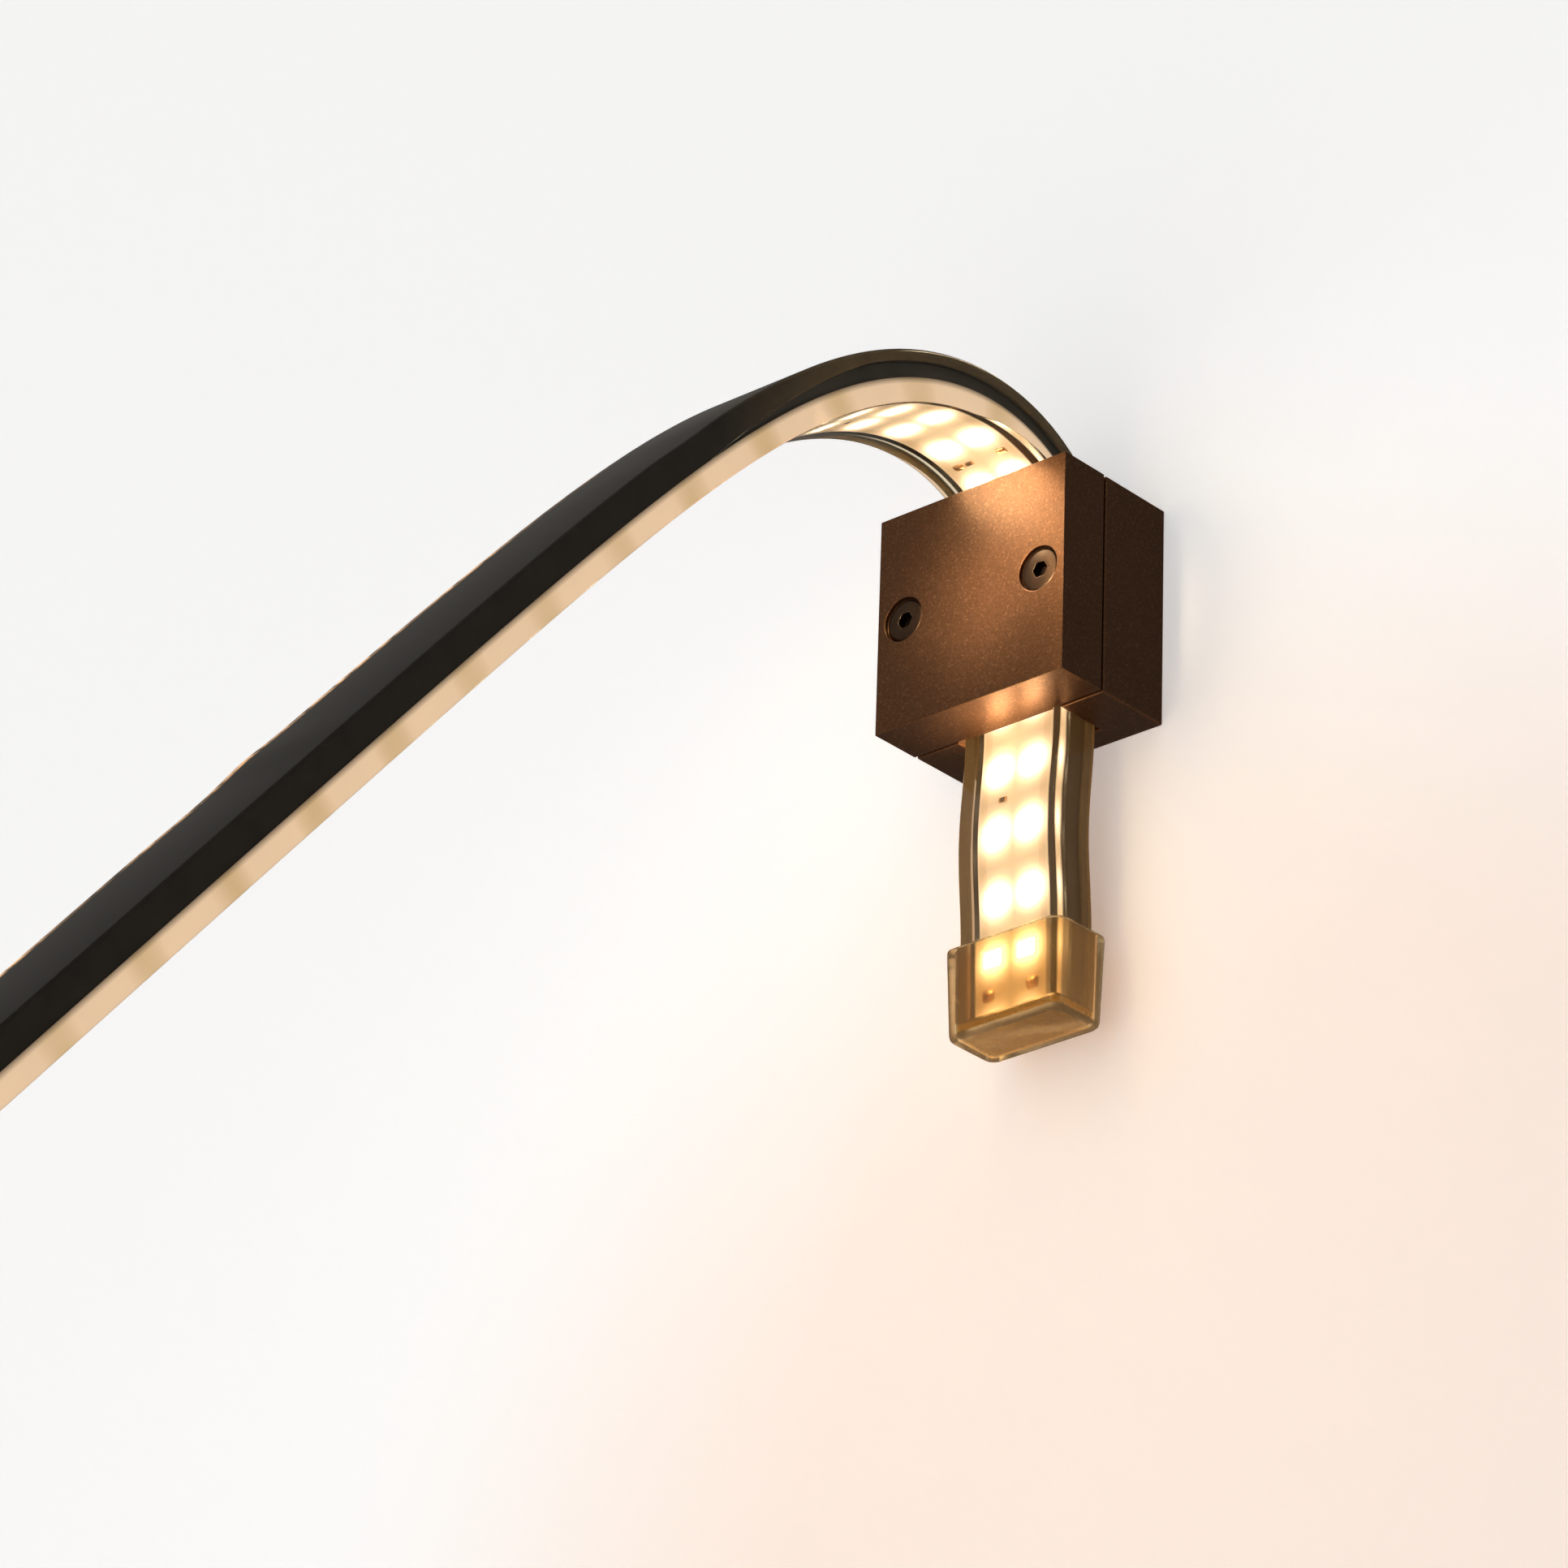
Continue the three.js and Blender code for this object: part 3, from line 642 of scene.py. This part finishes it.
def cement(name):
    """Clear yellow cement with small bubbles."""
    s = Shader(name)
    bubbles = s.add("ShaderNodeTexVoronoi", {"Vector": s.place(), "Scale": 1500.0}).outputs["Distance"]
    cloud = s.noise(s.place(), 500.0, 3.0)
    s.set(
        Base_Color=s.mix(s.range(cloud, 0.3, 0.7, 0.0, 1.0), (0.85, 0.7, 0.36, 1), (0.7, 0.52, 0.2, 1)),
        Roughness=s.range(cloud, 0.3, 0.7, 0.2, 0.45),
        IOR=1.48,
        Transmission_Weight=0.6,
        Normal=s.bump(bubbles, 0.3, 0.1 * MM),
    )
    return s.material


def side_glow(name):
    """Cream light behind the strip's side wall, duller between every second pair of LEDs."""
    s = Shader(name)
    along, height = s.strip_place()
    wave = s.math("COSINE", s.math("MULTIPLY", s.math("SUBTRACT", along, GLOW_DULL), math.pi / LED_PITCH))
    cloud = s.noise(s.place(), 90.0, 2.0)
    dull = s.math("MULTIPLY", s.range(wave, 0.2, 1.0, 0.0, 1.0), s.range(cloud, 0.3, 0.6, 0.4, 1.0))
    body = s.mix(dull, (0.7, 0.55, 0.43, 1), (0.53, 0.4, 0.25, 1))
    edge = s.range(height, 0.0, 0.25, 0.15, 1.05)
    s.set(
        Base_Color=(0.2, 0.15, 0.1, 1),
        Roughness=0.5,
        Emission_Color=body,
        Emission_Strength=edge,
    )
    return s.material


def edge_light(name):
    """Broken orange light that the strip's back corner lets out, weaker at its start and inwards."""
    s = Shader(name)
    along, across = s.strip_place()
    pearls = s.range(s.noise(s.stretched(along, across, 420.0, 900.0), 1.0, 3.0), 0.35, 0.6, 0.15, 2.0)
    slow = s.range(s.noise(s.stretched(along, across, 40.0, 0.0), 1.0, 1.0), 0.35, 0.6, 0.25, 1.2)
    inwards = s.range(across, -7.2 * MM, -6.4 * MM, 1.0, 0.0)
    start = s.range(along, EDGE_LIGHT_FROM, EDGE_LIGHT_FROM + EDGE_LIGHT_FADE, 0.0, 1.0)
    fade = s.math("MULTIPLY", inwards, start)
    s.set(
        Base_Color=(0.02, 0.014, 0.01, 1),
        Roughness=0.5,
        Emission_Color=(1.0, 0.62, 0.36, 1),
        Emission_Strength=s.math("MULTIPLY", s.math("MULTIPLY", pearls, slow), fade),
    )
    return s.material


BRONZE = (0.18, 0.085, 0.04)
ANODISED = anodised("anodised_bronze", BRONZE, 0.34)
# Painted highlight: the broken edges are the same anodised bronze, painted 1.7 times lighter as if catching
# the light.
EDGE_PAINTED_HIGHLIGHT = anodised("anodised_painted_edge_highlight", [c * 1.7 for c in BRONZE], 0.36, 0.7)
STRIP_PVC = clear_plastic("strip_pvc", (0.96, 0.81, 0.57), 0.05, 0.12, scatter=0.045, drawn=True)
CAP_PVC = clear_plastic("cap_pvc", (0.94, 0.71, 0.37), 0.2, 0.2, 0.9, 0.009)
SKIN_PVC = back_skin("skin_painted_bend_light")
BLACK_PVC = black_plastic("core_black")
CIRCUIT = circuit_white("circuit_lit")
PHOSPHOR = light_source("led_phosphor", (1.0, 0.84, 0.62), 18.0)
LED_BODY = light_source("led_body", (1.0, 0.93, 0.8), 2.6)
CHIP = moulded("resistor_body", (0.12, 0.07, 0.045), 0.35)
SOLDER = plain_metal("solder", (0.8, 0.5, 0.28), 0.3)
# Painted shade: the inside of the hex socket, the screw's own plating painted near-black for the shade in the
# recess.
SOCKET_PAINTED_SHADE = plain_metal("socket_painted_shade", (0.03, 0.02, 0.015), 0.5)
COPPER = plain_metal("copper", (0.72, 0.36, 0.18))
BRASS = plain_metal("brass", (0.68, 0.5, 0.2))
STEEL = plain_metal("zinc_steel", (0.55, 0.56, 0.58))
CARRIER = moulded("carrier_white", (0.78, 0.76, 0.7))
CEMENT = cement("cap_cement")
SIDE_GLOW = side_glow("side_glow")
EDGE_LIGHT = edge_light("edge_light")


# ---------------------------------------------------------------- camera, stage and lights

def make_camera():
    data = bpy.data.cameras.new("camera")
    data.lens, data.sensor_width = CAMERA_LENS, CAMERA_SENSOR
    data.clip_start, data.clip_end = 0.01, 50
    camera = bpy.data.objects.new("camera", data)
    bpy.context.scene.collection.objects.link(camera)
    camera.rotation_mode = "QUATERNION"
    look = (CAMERA_TARGET - CAMERA_PLACE).to_track_quat("-Z", "Y")
    camera.location = CAMERA_PLACE
    camera.rotation_quaternion = look @ Matrix.Rotation(-CAMERA_ROLL, 3, "Z").to_quaternion()
    bpy.context.scene.camera = camera


def stage_plane(name, corners, tone, warm_pool=False):
    """A pale surface that is clear from behind, so that it never hides the light from other views."""
    bm = bmesh.new()
    bm.faces.new([bm.verts.new(c) for c in corners])
    mesh = bpy.data.meshes.new(name)
    bm.to_mesh(mesh)
    bm.free()
    s = Shader(name)
    grain = s.noise(s.place(), 900.0, 4.0)
    paint = s.mix(s.range(grain, 0.3, 0.7, 0.0, 1.0), (tone, tone, tone, 1), (tone * 0.985,) * 3 + (1,))
    soft = (tone * 0.78,) * 3 + (1,)
    if warm_pool:
        away = s.add("ShaderNodeVectorMath", {0: s.place(offset=POOL_CENTRE)}, operation="LENGTH")
        eased = s.add("ShaderNodeMapRange", {
            "Value": away.outputs["Value"], "From Min": POOL_INNER, "From Max": POOL_OUTER,
            "To Min": 1.0, "To Max": 0.0}, interpolation_type="SMOOTHSTEP").outputs[0]
        soft = s.mix(eased, soft, (0.64, 0.43, 0.32, 1))
    s.set(
        Base_Color=paint,
        Roughness=0.9,
        Specular_IOR_Level=0.1,
        Emission_Color=soft,
        Emission_Strength=WALL_OWN_LIGHT,
    )
    behind = s.add("ShaderNodeNewGeometry").outputs["Backfacing"]
    clear = s.add("ShaderNodeBsdfTransparent")
    both = s.add("ShaderNodeMixShader", {0: behind, 1: s.surface.outputs[0], 2: clear.outputs[0]})
    s.put(s.output, "Surface", both.outputs[0])
    plane = new_object(name, mesh, s.material)
    plane.visible_glossy = False


def area_light(name, place, target, size, power, colour):
    data = bpy.data.lights.new(name, "AREA")
    data.shape, data.size, data.energy, data.color = "DISK", size, power, colour
    lamp = bpy.data.objects.new(name, data)
    bpy.context.scene.collection.objects.link(lamp)
    lamp.location = place
    lamp.rotation_mode = "QUATERNION"
    lamp.rotation_quaternion = (Vector(target) - Vector(place)).to_track_quat("-Z", "Y")
    lamp.visible_camera = False
    return lamp


def strip_lamp(name, at, target, size, power, colour, spread):
    """A small lamp in front of the strip, for the strip's own light on the block.
    It sits at (distance along the strip, place across it, height)."""
    lamp = area_light(name, place_on_strip(*at).translation, target, size, power, colour)
    lamp.data.spread = math.radians(spread)


def make_stage():
    far, floor = 3.0, -1.5
    wall = ((-far, 0, floor), (far, 0, floor), (far, 0, far), (-far, 0, far))
    stage_plane("wall", wall, 0.92, True)
    ground = ((-far, -far, floor), (far, -far, floor), (far, 0, floor), (-far, 0, floor))
    stage_plane("floor", ground, 0.85)


def make_world():
    world = bpy.data.worlds.new("room")
    bpy.context.scene.world = world
    world.use_nodes = True
    tree = world.node_tree
    room = tree.nodes["Background"]
    room.inputs["Color"].default_value = (1.0, 0.94, 0.87, 1)
    room.inputs["Strength"].default_value = 0.105
    seen = tree.nodes.new("ShaderNodeBackground")
    seen.inputs["Color"].default_value = (0.93, 0.93, 0.93, 1)
    path = tree.nodes.new("ShaderNodeLightPath")
    both = tree.nodes.new("ShaderNodeMixShader")
    tree.links.new(path.outputs["Is Camera Ray"], both.inputs[0])
    tree.links.new(room.outputs[0], both.inputs[1])
    tree.links.new(seen.outputs[0], both.inputs[2])
    tree.links.new(both.outputs[0], tree.nodes["World Output"].inputs["Surface"])


def make_lights():
    sun = bpy.data.lights.new("soft_daylight", "SUN")
    sun.energy, sun.angle, sun.color = 0.98, math.radians(75), (0.985, 0.99, 1.0)
    lamp = bpy.data.objects.new("soft_daylight", sun)
    bpy.context.scene.collection.objects.link(lamp)
    lamp.rotation_mode = "QUATERNION"
    lamp.rotation_quaternion = Vector((0.3, 1.0, -0.35)).to_track_quat("-Z", "Y")
    lamp.visible_glossy = False
    lamp.visible_transmission = False
    warm, pale = (1.0, 0.78, 0.55), (1.0, 0.97, 0.78)
    face_y = PLATE_LOW.y
    plate_y = face_y + PLATE_THICKNESS / 2
    arch, arm, tail = (88 * MM, 1 * MM, 5.4 * MM), (130 * MM, 3 * MM, 6 * MM), (30 * MM, -2 * MM, 5 * MM)
    strip_lamp("arch_on_block", arch, (3 * MM, face_y, 2 * MM), 12 * MM, 0.0016, pale, 100)
    strip_lamp("arm_on_block", arm, (2 * MM, face_y, 0.0), 16 * MM, 0.0036, warm, 31)
    strip_lamp("tail_on_block", tail, (-4 * MM, plate_y, BLOCK_LOW.z), 9 * MM, 0.0013, warm, 100)
    area_light("window", (-0.75, -0.85, 0.6), (0, 0, 0), 0.8, 0.35, (1.0, 0.95, 0.9))


make_camera()
make_stage()
make_world()
make_lights()
bpy.context.scene.view_settings.view_transform = "Standard"


# ---------------------------------------------------------------- pieces

def set_piece(piece, body, slot, *nodes):
    """Puts a piece on its body and hides the CAD nodes that it stands for. The slot is not used."""
    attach(piece, body)
    if nodes:
        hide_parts(*nodes)


def repaint(node, material):
    """Gives a CAD node that stays as it is its finished material."""
    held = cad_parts[node]
    held.data.materials.clear()
    held.data.materials.append(material)


def make_wall_block():
    """The rear half: a channel for the strip, a stepped window for the carrier, and four screw holes."""
    low, high = BLOCK_LOW, BLOCK_HIGH
    channel = STRIP_HALF_WIDTH + STRIP_CLEARANCE
    floor_y = STRIP_AXIS_Y + STRIP_HALF_THICKNESS + STRIP_CLEARANCE
    beyond = 5 * MM
    seat_low, seat_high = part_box("contact_carrier")
    step_x, step_z, step_depth = 1.3 * MM, 0.9 * MM, 1.3 * MM
    blank = box_blank(low, high)
    cutters = [
        box_blank((-channel, low.y - beyond, low.z - beyond), (channel, floor_y, high.z + beyond)),
        box_blank(
            (seat_low.x - GAP, seat_high.y - step_depth, seat_low.z - GAP),
            (seat_high.x + GAP, beyond, seat_high.z + GAP)),
        box_blank(
            (seat_low.x + step_x - GAP, floor_y - beyond, seat_low.z + step_z - GAP),
            (seat_high.x - step_x + GAP, 0, seat_high.z - step_z + GAP)),
    ]
    tapped = [(TAPPED_RADIUS, low.y - beyond), (TAPPED_RADIUS, TAPPED_END_Y)]
    through = [(WALL_HOLE_RADIUS, floor_y - beyond), (WALL_HOLE_RADIUS, beyond)]
    for side in (-1, 1):
        cutters.append(turned_blank(tapped, side * SCREW_X))
        cutters.append(turned_blank(through, 0, side * WALL_HOLE_Z))
    block = machined("wall_block_shell", blank, [], cutters, ANODISED, EDGE_PAINTED_HIGHLIGHT)
    set_piece(block, "fixture", "anodised_bronze", "wall_block")


def make_front_plate():
    """The front half: a tongue on the strip, two countersunk holes, and an eased edge under the bend."""
    low, high = PLATE_LOW, PLATE_HIGH
    back = low.y + PLATE_THICKNESS
    blank = box_blank(low, (high.x, back, high.z))
    tongue = box_blank(
        (-TONGUE_HALF_WIDTH, back - MM, low.z + 0.15 * MM), (TONGUE_HALF_WIDTH, high.y, TONGUE_TOP))
    head, shank = 3.02 * MM, 1.75 * MM
    countersunk = [
        (head, low.y - MM), (head, low.y + 0.55 * MM), (shank, low.y + 1.9 * MM), (shank, high.y + MM)]
    cutters = [turned_blank(countersunk, side * SCREW_X) for side in (-1, 1)]
    ease_half_width, ease_depth, ease_height, over = 8.15 * MM, 1.6 * MM, 5.2 * MM, 0.1 * MM
    wedge = (
        (back - ease_depth, high.z + over), (back + MM, high.z - ease_height), (back + MM, high.z + over))
    ease = bmesh.new()
    loft(ease, [[Vector((x, y, z)) for y, z in wedge] for x in (-ease_half_width, ease_half_width)])
    cutters.append(unfinished(ease))
    plate = machined("front_plate_shell", blank, [tongue], cutters, ANODISED, EDGE_PAINTED_HIGHLIGHT)
    set_piece(plate, "front_plate", "anodised_bronze", "front_plate")


def make_clamp_screw(side, x):
    """M3 countersunk screw: rounded rim, hexagon socket, chamfered end."""
    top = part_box(f"clamp_screw_{side}")[0].y
    blank = turned_blank([(radius * MM, top + depth * MM) for radius, depth in SCREW_OUTLINE], x)
    socket_radius, socket_depth = 2 / math.sqrt(3) * MM, 1.3 * MM
    socket = turned_blank([(socket_radius, top - MM), (socket_radius, top + socket_depth)], x, segments=6)
    metal = turned_metal(f"screw_plate_{side}", (0.105, 0.064, 0.04), (x, 0, 0), 0.3)
    # Painted highlight: the rim's bevel is the same plating, painted over three times lighter.
    edge = turned_metal(f"screw_rim_painted_highlight_{side}", (0.36, 0.235, 0.145), (x, 0, 0), 0.24)
    screw = machined(f"clamp_screw_{side}_turned", blank, [], [socket], metal, edge, bevel=0.05 * MM)
    # The socket's walls and floor take the painted shade.
    screw.data.materials.append(SOCKET_PAINTED_SHADE)
    for face in screw.data.polygons:
        off_axis = math.hypot(face.center.x - x, face.center.z)
        if off_axis < 1.14 * MM and 0.1 * MM < face.center.y - top < 1.5 * MM:
            face.material_index = len(screw.data.materials) - 1
    set_piece(screw, f"clamp_screw_{side}", "screw_bronze", f"clamp_screw_{side}")


def make_strip():
    """The clear jacket and its layers, and the thin lit corner of its back."""
    jacket = sweep("strip_jacket_clear", jacket_section, STRIP_PVC)
    set_piece(jacket, "fixture", "clear_pvc", "strip_jacket")
    inside = [(END_SKIN, STRIP_AXIS_Y, STRIP_END_Z + END_SKIN, math.pi / 2)] + ROUTE[1:-1]
    black = flat_layer(CORE_HALF_WIDTH, CORE_BACK, CORE_FRONT, 0.3 * MM)
    core = sweep("strip_core_black", lambda distance: black, BLACK_PVC, inside)
    set_piece(core, "fixture", "black_pvc", "strip_core")
    skin = sweep("strip_back_skin", skin_section, SKIN_PVC, inside)
    set_piece(skin, "fixture", "clear_pvc")
    white = flat_layer(RIBBON_HALF_WIDTH, RIBBON_BACK, RIBBON_FRONT, 0.05 * MM, 1)
    ribbon = sweep("led_circuit", lambda distance: white, CIRCUIT, inside)
    set_piece(ribbon, "fixture", "circuit_white", "led_circuit_ribbon")
    outline = rounded_rectangle(0.63 * MM, 0.08 * MM, 0.05 * MM, 2)
    corner = [(x + EDGE_LIGHT_X, height + EDGE_LIGHT_HEIGHT) for x, height in outline]
    arm = [station for station in ROUTE if station[0] > EDGE_LIGHT_FROM][:-1]
    edge = sweep("far_edge_light", lambda distance: corner, EDGE_LIGHT, arm)
    set_piece(edge, "fixture", "clear_pvc")
    for node in ("bus_wire_left", "bus_wire_right"):
        repaint(node, COPPER)


def make_side_glow():
    """The light that the strip's side walls let out, as a thin skin just inside each wall."""
    stations = [station for station in ROUTE if station[0] > GLOW_FROM][:-1]
    for side, sign in (("left", -1), ("right", 1)):
        bm = bmesh.new()
        rings = []
        for station in stations:
            share = min(1, (station[0] - GLOW_FROM) / (GLOW_FULL - GLOW_FROM))
            high = GLOW_LOW + (GLOW_HIGH - GLOW_LOW) * (0.25 + 0.75 * share)
            inner, outer = sign * (GLOW_X - GLOW_THICKNESS), sign * GLOW_X
            place = frame_at(station)
            section = ((inner, GLOW_LOW), (outer, GLOW_LOW), (outer, high), (inner, high))
            rings.append([place @ Vector((x, 0, height)) for x, height in section])
        loft(bm, rings)
        mesh = bpy.data.meshes.new(f"side_glow_{side}")
        bm.to_mesh(mesh)
        bm.free()
        layer = mesh.uv_layers.new(name="strip")
        for loop in mesh.loops:
            ring, corner = divmod(loop.vertex_index, 4)
            height = (0.0, 0.0, 1.0, 1.0)[corner]
            layer.data[loop.index].uv = (stations[ring][0], height)
        mesh.materials.append(SKIN_PVC)
        piece = new_object(f"side_glow_{side}", mesh, SIDE_GLOW)
        for face in mesh.polygons:
            face.material_index = 1 if face.center.x * sign > (GLOW_X - GLOW_THICKNESS / 4) else 0
        set_piece(piece, "fixture", "clear_pvc")


def make_circuit_parts():
    """The LEDs, resistors and solder pads on the circuit, one object for each kind."""
    kinds = {
        "led_bodies": (LED_BODY, "circuit_white"),
        "led_windows": (PHOSPHOR, "circuit_white"),
        "resistors": (CHIP, "black_pvc"),
        "resistor_ends": (SOLDER, "solder"),
        "solder_pads": (SOLDER, "solder"),
    }
    meshes = {kind: bmesh.new() for kind in kinds}
    count = int((STRIP_LENGTH - FIRST_LED - 3 * MM) / LED_PITCH) + 1
    quarter_turn = Matrix.Rotation(math.pi / 2, 4, "Z")
    for index in range(count):
        distance = FIRST_LED + index * LED_PITCH
        for side in (-1, 1):
            place = place_on_strip(distance, side * LED_ROW_X, RIBBON_FRONT)
            stack(meshes["led_bodies"], LED_SECTIONS, place)
            stack(meshes["led_windows"], PHOSPHOR_SECTIONS, place)
        between = distance + LED_PITCH / 2
        if between >= STRIP_LENGTH - 4 * MM:
            continue
        if index % RESISTOR_EVERY == 2:
            place = place_on_strip(between, -1.7 * MM, RIBBON_FRONT) @ quarter_turn
            stack(meshes["resistors"], RESISTOR_SECTIONS, place)
            for end in (-0.45 * MM, 0.45 * MM):
                end_place = place @ Matrix.Translation((0, end, 0))
                stack(meshes["resistor_ends"], RESISTOR_END_SECTIONS, end_place)
        if index % PAD_EVERY == 0 and index > 0:
            for side in (-1, 1):
                place = place_on_strip(between, side * WIRE_X, RIBBON_FRONT)
                stack(meshes["solder_pads"], PAD_SECTIONS, place)
    for kind, bm in meshes.items():
        material, slot = kinds[kind]
        set_piece(from_bmesh(kind, bm, material), "fixture", slot)


def make_solder_points():
    """The two soldered joints near the tail's end."""
    for side, x in (("left", -WIRE_X), ("right", WIRE_X)):
        bm = bmesh.new()
        place = place_on_strip(3 * MM, x, RIBBON_FRONT)
        stack(bm, SOLDER_SECTIONS, place)
        stack(bm, SOLDER_LEG_SECTIONS, place)
        joint = from_bmesh(f"solder_point_{side}", bm, SOLDER)
        set_piece(joint, "fixture", "solder", f"solder_jumper_{side}")


def make_cap(prefix, mouth):
    """A moulded end cap and the cement inside it. Local Z runs from the mouth to the closed end."""
    inner_x, inner_y = STRIP_HALF_WIDTH + CAP_PLAY, STRIP_HALF_THICKNESS + CAP_PLAY
    outer_x, outer_y = inner_x + CAP_WALL, inner_y + CAP_WALL
    depth = CAP_OVERLAP + 1.15 * MM
    height = depth + 1.2 * MM
    lip, taper = CAP_LIP, CAP_TAPER

    def ring(half_x, half_y, corner, z):
        return [mouth @ Vector((x, y, z)) for x, y in rounded_rectangle(half_x, half_y, corner, 6)]

    rings = [
        ring(inner_x, inner_y, 0.8 * MM, depth),
        ring(inner_x, inner_y, 0.8 * MM, lip),
        ring(inner_x + lip / 2, inner_y + lip / 2, 0.9 * MM, 0.04 * MM),
        ring(inner_x + 2 * lip, inner_y + 2 * lip, 1.2 * MM, 0.0),
        ring(outer_x - 1.5 * lip, outer_y - 1.5 * lip, 1.5 * MM, 0.0),
        ring(outer_x - 0.3 * lip, outer_y - 0.3 * lip, 1.8 * MM, 0.12 * MM),
        ring(outer_x, outer_y, 1.9 * MM, 0.5 * MM),
        ring(outer_x - 0.6 * taper, outer_y - 0.6 * taper, 1.8 * MM, height * 0.6),
        ring(outer_x - taper, outer_y - taper, 1.7 * MM, height - 0.9 * MM),
        ring(outer_x - taper - 0.12 * MM, outer_y - taper - 0.12 * MM, 1.6 * MM, height - 0.45 * MM),
        ring(outer_x - taper - 0.45 * MM, outer_y - taper - 0.45 * MM, 1.3 * MM, height - 0.12 * MM),
        ring(outer_x - taper - 0.9 * MM, outer_y - taper - 0.9 * MM, 1.0 * MM, height),
    ]
    bm = bmesh.new()
    loft(bm, rings)
    cap = from_bmesh(f"{prefix}_cap_moulded", bm, CAP_PVC, 50)
    set_piece(cap, f"{prefix}_cap", "clear_pvc", f"{prefix}_cap")

    bm = bmesh.new()
    plug_x, plug_y = inner_x - 0.1 * MM, inner_y - 0.1 * MM
    bottom = CAP_OVERLAP + 0.25 * MM
    loft(bm, [
        ring(plug_x, plug_y, 0.8 * MM, bottom),
        ring(plug_x, plug_y, 0.8 * MM, bottom + 0.6 * MM),
        ring(plug_x - 0.2 * MM, plug_y - 0.2 * MM, 0.7 * MM, bottom + 0.8 * MM),
    ])
    plug = from_bmesh(f"{prefix}_cement", bm, CEMENT)
    set_piece(plug, f"{prefix}_cap", "sealant", f"{prefix}_sealant")


def make_caps():
    tail = Matrix.Translation((0, STRIP_AXIS_Y, STRIP_END_Z + CAP_OVERLAP)) @ Matrix.Rotation(math.pi, 4, "X")
    make_cap("tail", tail)
    _, y, z, heading = ROUTE[-1]
    outer = Matrix.Translation((0, y + CAP_OVERLAP * math.cos(heading), z - CAP_OVERLAP * math.sin(heading)))
    make_cap("outer", outer @ Matrix.Rotation(math.pi / 2 - heading, 4, "X"))


def finish_contacts():
    """The unseen carrier, contacts and terminal screws keep their CAD shapes."""
    repaint("contact_carrier", CARRIER)
    for side in ("left", "right"):
        repaint(f"contact_{side}", BRASS)
        repaint(f"terminal_screw_{side}", STEEL)


make_wall_block()
make_front_plate()
make_clamp_screw("left", -SCREW_X)
make_clamp_screw("right", SCREW_X)
make_strip()
make_side_glow()
make_circuit_parts()
make_solder_points()
make_caps()
finish_contacts()
